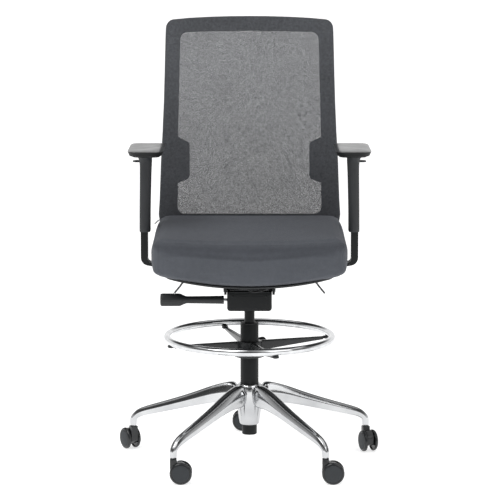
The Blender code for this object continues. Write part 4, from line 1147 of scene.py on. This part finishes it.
def back_outline(inset, top, foot):
    return both_sides([
        (0.240 - inset, foot + inset, 0), (0.2545 - inset, foot + 0.009 + inset / 2, 0.006),
        (0.2575 - inset, 0.650, 0), (0.2563 - inset, 0.6700, 0), (0.255 - inset, 0.691, 0), (0.253 - inset, 0.745, 0),
        (0.251 - inset, 0.802, 0), (0.2465 - inset, 0.885, 0), (0.243 - inset, 0.969, 0), (0.2405 - inset, 1.065, 0),
        (0.2385 - inset, 1.160, 0), (0.236 - inset, top - 0.011 - inset, 0.024),
        (0.170, top - 0.0050 - inset, 0), (0.110, top - 0.002 - inset, 0), (0.055, top - 0.0004 - inset, 0),
        (0, top - inset, 0),
    ])


def back(frame_surface, mesh_surface, binding_surface):
    low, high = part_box("back_frame")
    top = high.z
    foot = 0.622
    tongue_half, tongue_foot = 0.040, low.z
    tongue = [(tongue_half, tongue_foot, 0.010), (tongue_half, foot, 0)]
    outer = tongue + back_outline(0, top, foot) + [(-x, z, r) for x, z, r in reversed(tongue)]
    opening = both_sides([
        (0.2045, 0.650, 0.020), (0.2035, 0.738, 0.004), (0.170, 0.752, 0.014), (0.170, 0.850, 0.014),
        (0.2030, 0.866, 0.004), (0.2010, 0.969, 0), (0.1975, 1.120, 0), (0.1965, top - 0.045, 0.022),
        (0.100, top - 0.0420, 0), (0, top - 0.041, 0),
    ])
    made = slab("back_frame_moulding", [rounded(outer, 8), rounded(opening, 8)], FRAME_DEPTH, UPRIGHT)
    bent_back(made, MESH_THICK + MESH_GAP + FRAME_DEPTH / 2)
    bevelled(made, 0.0040, 3, 50)
    dress(made, frame_surface, "back", "back_frame", slot="frame_plastic")

    mesh_edge = rounded(back_outline(MESH_INSET, top, foot), 8)
    panel = slab("back_mesh_panel", [mesh_edge], MESH_THICK * 0.5, UPRIGHT)
    bent_back(panel, MESH_THICK * 0.6)
    dress(panel, mesh_surface, "back", "back_mesh", slot="back_mesh")

    edge = [Vector((p.x, back_front(p.y) + 0.0036, p.y)) for p in mesh_edge]
    binding = tube("back_mesh_binding", edge, 0.0030, closed=True, resolution=4)
    dress(binding, binding_surface, "back", slot="back_mesh")


def back_lever(metal):
    """The wire lever behind the foot of the frame."""
    half_wire = 0.00225
    off = MESH_THICK + MESH_GAP + FRAME_DEPTH + half_wire + LEVER_GAP
    bends = ((-0.050, 0.632), (-0.150, 0.633), (-0.235, 0.637), (-0.256, 0.632), (-0.270, 0.621))
    route = smooth_route([(x, back_front(z) + off, z) for x, z in bends], 10)
    dress(tube("back_lever_wire", route, 0.0022), metal, "back_lever", "back_height_lever", slot="steel")


# ---------------------------------------------------------------- arms

POST_WIDTH = 0.019


def arm_parts(side, sign, black, plastic, urethane, carrier):
    name = "arm_" + side
    keep(name + "_bracket", black)
    low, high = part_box(name + "_sleeve")
    centre = (low + high) / 2
    x = centre.x
    y = centre.y
    width, depth = 0.031, 0.054
    rings = []
    levels = [
        (0.0, 0.90, 0.97, 0.0020), (0.0015, 0.955, 1.0, 0.0020), (0.012, 0.955, 1.0, 0.0020),
        (0.06, 0.955, 0.985, 0.0024), (0.11, 0.97, 0.985, 0.0034), (0.155, 0.99, 1.0, 0.0044),
        (0.178, 1.02, 1.02, 0.0050), (0.192, 1.07, 1.06, 0.0050), (0.201, 1.13, 1.14, 0.0040),
        (0.2065, 1.22, 1.30, 0.0024), (0.2110, 1.30, 1.40, 0.0010), (0.2125, 1.26, 1.37, 0.0008),
    ]
    for level, wide, deep, inward in levels:
        outline = rectangle(width * wide, depth * deep, 0.0125 * min(wide, deep), 6)
        rings.append([Vector((x - sign * inward + p.x, y + p.y, low.z + level)) for p in outline])
    skin = loft(name + "_sleeve_skin", rings, sharp=50)
    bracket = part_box(name + "_bracket")
    post_low_y, post_high_y = bracket[0].y - 0.0005, bracket[1].y + 0.0005
    post_half = POST_WIDTH / 2 + 0.0005
    cavity = block("cavity", (x - post_half, post_low_y, low.z - 0.01), (x + post_half, post_high_y, high.z - 0.0082))
    trigger_low, trigger_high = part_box(name + "_trigger")
    inside, outside = sorted((x + sign * 0.006, x + sign * 0.035))
    slot = block("slot", (inside, trigger_low.y - 0.001, trigger_low.z - 0.0022),
                 (outside, trigger_high.y + 0.001, trigger_high.z + 0.0028))
    hole = lathe("hole", [(0, 0.02), (0.0085, 0.02), (0.0085, -0.0055), (0, -0.0055)],
                 Matrix.Translation((x, y, high.z)), 32)
    cut(skin, (cavity, slot, hole), 40)
    dress(skin, plastic, name, name + "_sleeve", slot="frame_plastic")

    low, high = trigger_low, trigger_high
    inner, outer = (low.x, high.x) if sign > 0 else (high.x, low.x)
    paddle_rings = []
    for share, half in ((0.0, 0.80), (0.30, 0.85), (0.55, 0.95), (0.80, 1.0), (0.95, 0.92), (1.0, 0.75)):
        px = inner + (outer - inner) * share
        mid_z = (low.z + high.z) / 2
        half_y = (high.y - low.y) / 2 * half
        half_z = (high.z - low.z) / 2 * (0.98 if share < 0.95 else 0.6)
        outline = rectangle(half_y * 2, half_z * 2, half_z * 0.8, 4)
        paddle_rings.append([Vector((px, (low.y + high.y) / 2 + p.x, mid_z + p.y)) for p in outline])
    paddle = loft(name + "_trigger_paddle", paddle_rings, sharp=60)
    dress(paddle, plastic, name + "_trigger", name + "_trigger", slot="black_plastic")

    low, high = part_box(name + "_pad_base")
    centre = (low + high) / 2
    plate_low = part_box(name + "_sleeve")[1].z + 0.0003
    thick = high.z - plate_low
    base_plate = slab(name + "_base_plate", [rectangle(high.x - low.x, high.y - low.y, 0.020, 8)], thick - 0.0002,
                      Matrix.Translation((centre.x, centre.y, (plate_low + high.z) / 2)), 0.0016, 3)
    pivot = lathe(name + "_pivot", [
        (0, plate_low + 0.001), (0.008, plate_low + 0.001), (0.008, low.z + 0.0006), (0.0074, low.z), (0, low.z),
    ], Matrix.Translation((x, y, 0)), 32)
    dress(joined(name + "_pad_carrier", [base_plate, pivot]), carrier, name + "_turntable", name + "_pad_base",
          slot="black_plastic")
    # The pad's steeper sides take the carrier plastic as painted shade.
    arm_pad(name, urethane, carrier)


def arm_pad(name, urethane, painted_shade_sides):
    """A soft urethane pad: crowned on top, with a rolled edge that tucks under, and a darker matte material on its
    steeper sides as painted shade.
    """
    low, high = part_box(name + "_pad")
    centre = (low + high) / 2
    half_x = (high.x - low.x) / 2
    half_y = (high.y - low.y) / 2
    shape = bmesh.new()
    bmesh.ops.create_cube(shape, size=2)
    bmesh.ops.subdivide_edges(shape, edges=shape.edges, cuts=9, use_grid_fill=True)
    for corner in shape.verts:
        u, v, w = corner.co
        power = 5.5
        plan = max(abs(u), abs(v)) / max((abs(u) ** power + abs(v) ** power) ** (1 / power), 1e-6)
        edge = max(abs(u), abs(v))
        u2 = u * plan
        v2 = v * plan
        waist = 1 - 0.05 * (1 - abs(v) ** 2)
        round_top = 1 - 0.34 * edge ** 10
        tuck = 1 - 0.10 * (1 - w) / 2 * edge ** 6
        z = w * round_top if w > 0 else w * (1 - 0.25 * edge ** 10)
        dip = -0.0012 * (1 - u * u) * (1 - v * v) if w > 0.5 else 0.0
        corner.co = (centre.x + u2 * half_x * waist * tuck, centre.y + v2 * half_y * tuck,
                     centre.z + z * (high.z - low.z) / 2 + dip)
    made = from_bmesh(name + "_soft_pad", shape, 180)
    subdivided(made, 1)
    dress(made, urethane, name + "_pad", name + "_pad", slot="pad_urethane")
    # Painted shade: the pad's steeper faces take the darker carrier plastic instead of the urethane, so the sides read
    # dark beside the lit top.
    made.data.materials.append(painted_shade_sides)
    for face in made.data.polygons:
        if face.normal.z < 0.45:
            face.material_index = 1


# ---------------------------------------------------------------- room, light and camera

def room():
    """A plain white floor and soft surroundings: white behind the chair, greyer on the viewer's side."""
    shape = bmesh.new()
    bmesh.ops.create_circle(shape, cap_ends=True, segments=96, radius=80)
    floor = from_bmesh("floor", shape)
    n = Nodes("floor_white")
    n.set(base_color=(0.82, 0.82, 0.82, 1), roughness=1.0, emission_color=(1, 1, 1, 1), emission_strength=0.68,
          specular_ior_level=0.0)
    floor.data.materials.append(n.material)

    world = bpy.data.worlds.new("studio")
    bpy.context.scene.world = world
    world.use_nodes = True
    tree = world.node_tree
    background = tree.nodes["Background"]
    place = tree.nodes.new("ShaderNodeTexCoord")
    split = tree.nodes.new("ShaderNodeSeparateXYZ")
    tree.links.new(place.outputs["Generated"], split.inputs[0])
    x, y, z = split.outputs

    def greys(source, stops):
        ramp = tree.nodes.new("ShaderNodeValToRGB")
        tree.links.new(source, ramp.inputs["Fac"])
        for number, (position, grey) in enumerate(stops):
            marks = ramp.color_ramp.elements
            mark = marks[number] if number < 2 else marks.new(position)
            mark.position = position
            mark.color = (grey, grey, grey, 1)
        return ramp.outputs["Color"]

    def mixed(kind, factor, first, second):
        node = tree.nodes.new("ShaderNodeMix")
        node.data_type = "RGBA"
        node.blend_type = kind
        for name, value in (("Factor", factor), ("A", first), ("B", second)):
            if isinstance(value, float):
                node.inputs[name].default_value = value
            else:
                tree.links.new(value, node.inputs[name])
        return node.outputs["Result"]

    behind = greys(z, [(0.0, 1.0), (1.0, 1.0), (0.30, 1.0), (0.40, 0.55), (0.50, 0.05), (0.74, 0.04), (0.82, 1.0)])
    toward = greys(z, [(0.0, 0.55), (1.0, 1.0), (0.12, 0.62), (0.24, 0.14), (0.48, 0.08), (0.60, 0.95), (0.85, 1.0)])
    breadth = tree.nodes.new("ShaderNodeMath")
    breadth.operation = "ABSOLUTE"
    tree.links.new(x, breadth.inputs[0])
    sides = greys(breadth.outputs[0], [(0.0, 0.30), (1.0, 1.0), (0.16, 0.42), (0.30, 1.0), (0.62, 1.0), (0.70, 0.55)])
    toward = mixed("MULTIPLY", 1.0, toward, sides)
    shift = tree.nodes.new("ShaderNodeMapRange")
    shift.inputs["From Min"].default_value = -0.15
    shift.inputs["From Max"].default_value = 0.25
    tree.links.new(y, shift.inputs["Value"])
    tree.links.new(mixed("MIX", shift.outputs[0], toward, behind), background.inputs["Color"])
    background.inputs["Strength"].default_value = 1.0


def lamp(name, place, target, size, watts):
    light = bpy.data.lights.new(name, "AREA")
    light.shape = "RECTANGLE"
    light.size = size[0]
    light.size_y = size[1]
    light.energy = watts
    made = placed(name, light)
    made.location = place
    made.rotation_euler = (Vector(target) - Vector(place)).to_track_quat("-Z", "Y").to_euler()
    made.visible_camera = False
    return made


def camera():
    """The photograph's view: far off, a little above the seat and tilted down."""
    data = bpy.data.cameras.new("camera")
    data.sensor_width = 36
    data.lens = 164.75
    made = placed("camera", data)
    made.location = from_column(0.0014, -6.19, 1.5355)
    made.rotation_euler = (math.pi / 2 - 0.1524, 0, 0)
    bpy.context.scene.camera = made


def build():
    bpy.context.scene.view_settings.view_transform = "Standard"
    camera()
    room()
    lamp("key", (-1.6, -1.6, 3.9), (0, 0, 0.7), (2.4, 2.4), 60)
    lamp("fill", (2.6, -2.8, 2.6), (0, 0, 0.6), (2.4, 2.4), 25)

    aluminium = polished_aluminium()
    bright = chrome()
    metal = steel()
    black = powder_coat("black_powder_coat", srgb(27, 29, 30), 0.38, 0.5)
    gloss_black = powder_coat("gloss_black_coat", srgb(40, 42, 43), 0.22, 0.32, 300, 0.00004, 0.3)
    plastic = moulded_plastic("black_moulded_plastic", srgb(34, 36, 38), 0.45, 0.6)
    frame_plastic = moulded_plastic("frame_moulded_plastic", srgb(42, 44, 47), 0.5, 0.62)
    sleeve_plastic = moulded_plastic("sleeve_moulded_plastic", srgb(42, 44, 47), 0.5, 0.62)
    caster_gloss = moulded_plastic("caster_gloss_plastic", srgb(34, 36, 38), 0.14, 0.26, 200, 0.00001)
    caster_matte = moulded_plastic("caster_matte_plastic", srgb(56, 59, 62), 0.5, 0.65, gloss=0.3)
    fabric = seat_fabric()
    mesh = mesh_fabric("open_back_mesh", srgb(84, 86, 90), 1.15)
    binding = seat_fabric_binding()
    urethane = pad_urethane()
    # This plastic also covers the arm pads' steeper sides as painted shade.
    carrier = moulded_plastic("pad_carrier_plastic", srgb(20, 21, 22), 0.5, 0.62, gloss=0.25)
    jacket = moulded_plastic("cable_jacket", srgb(28, 29, 30), 0.3, 0.4)

    star_base(aluminium)
    for number in CASTERS:
        caster(number, caster_gloss, caster_matte, metal)
    column(black, plastic, metal)
    foot_ring(bright, gloss_black, plastic, metal)
    mechanism(black, plastic, metal)
    tension_handle(plastic, metal)
    lever("height_lever", -1, metal)
    lever("tilt_lever", 1, metal)
    cable("tilt_cable", 1, -0.1035, 0.4855, jacket, metal)
    cable("height_cable", -1, -0.0975, 0.4925, jacket, metal)
    keep("seat_plate", black)
    keep("back_bar", black)
    seat_pan(plastic, metal)
    seat_cushion(fabric)
    back(frame_plastic, mesh, binding)
    back_lever(metal)
    for side, sign in SIDES:
        arm_parts(side, sign, black, sleeve_plastic, urethane, carrier)


def seat_fabric_binding():
    n = Nodes("back_binding_fabric")
    n.set(roughness=0.9, sheen_weight=0.1)
    weave = weave_height(n, 0.0014)
    n.colour(n.ramp(weave, srgb(60, 62, 66), srgb(84, 86, 90), 0.2, 0.8))
    n.bump(weave, 0.0003, 0.5)
    return n.material


build()
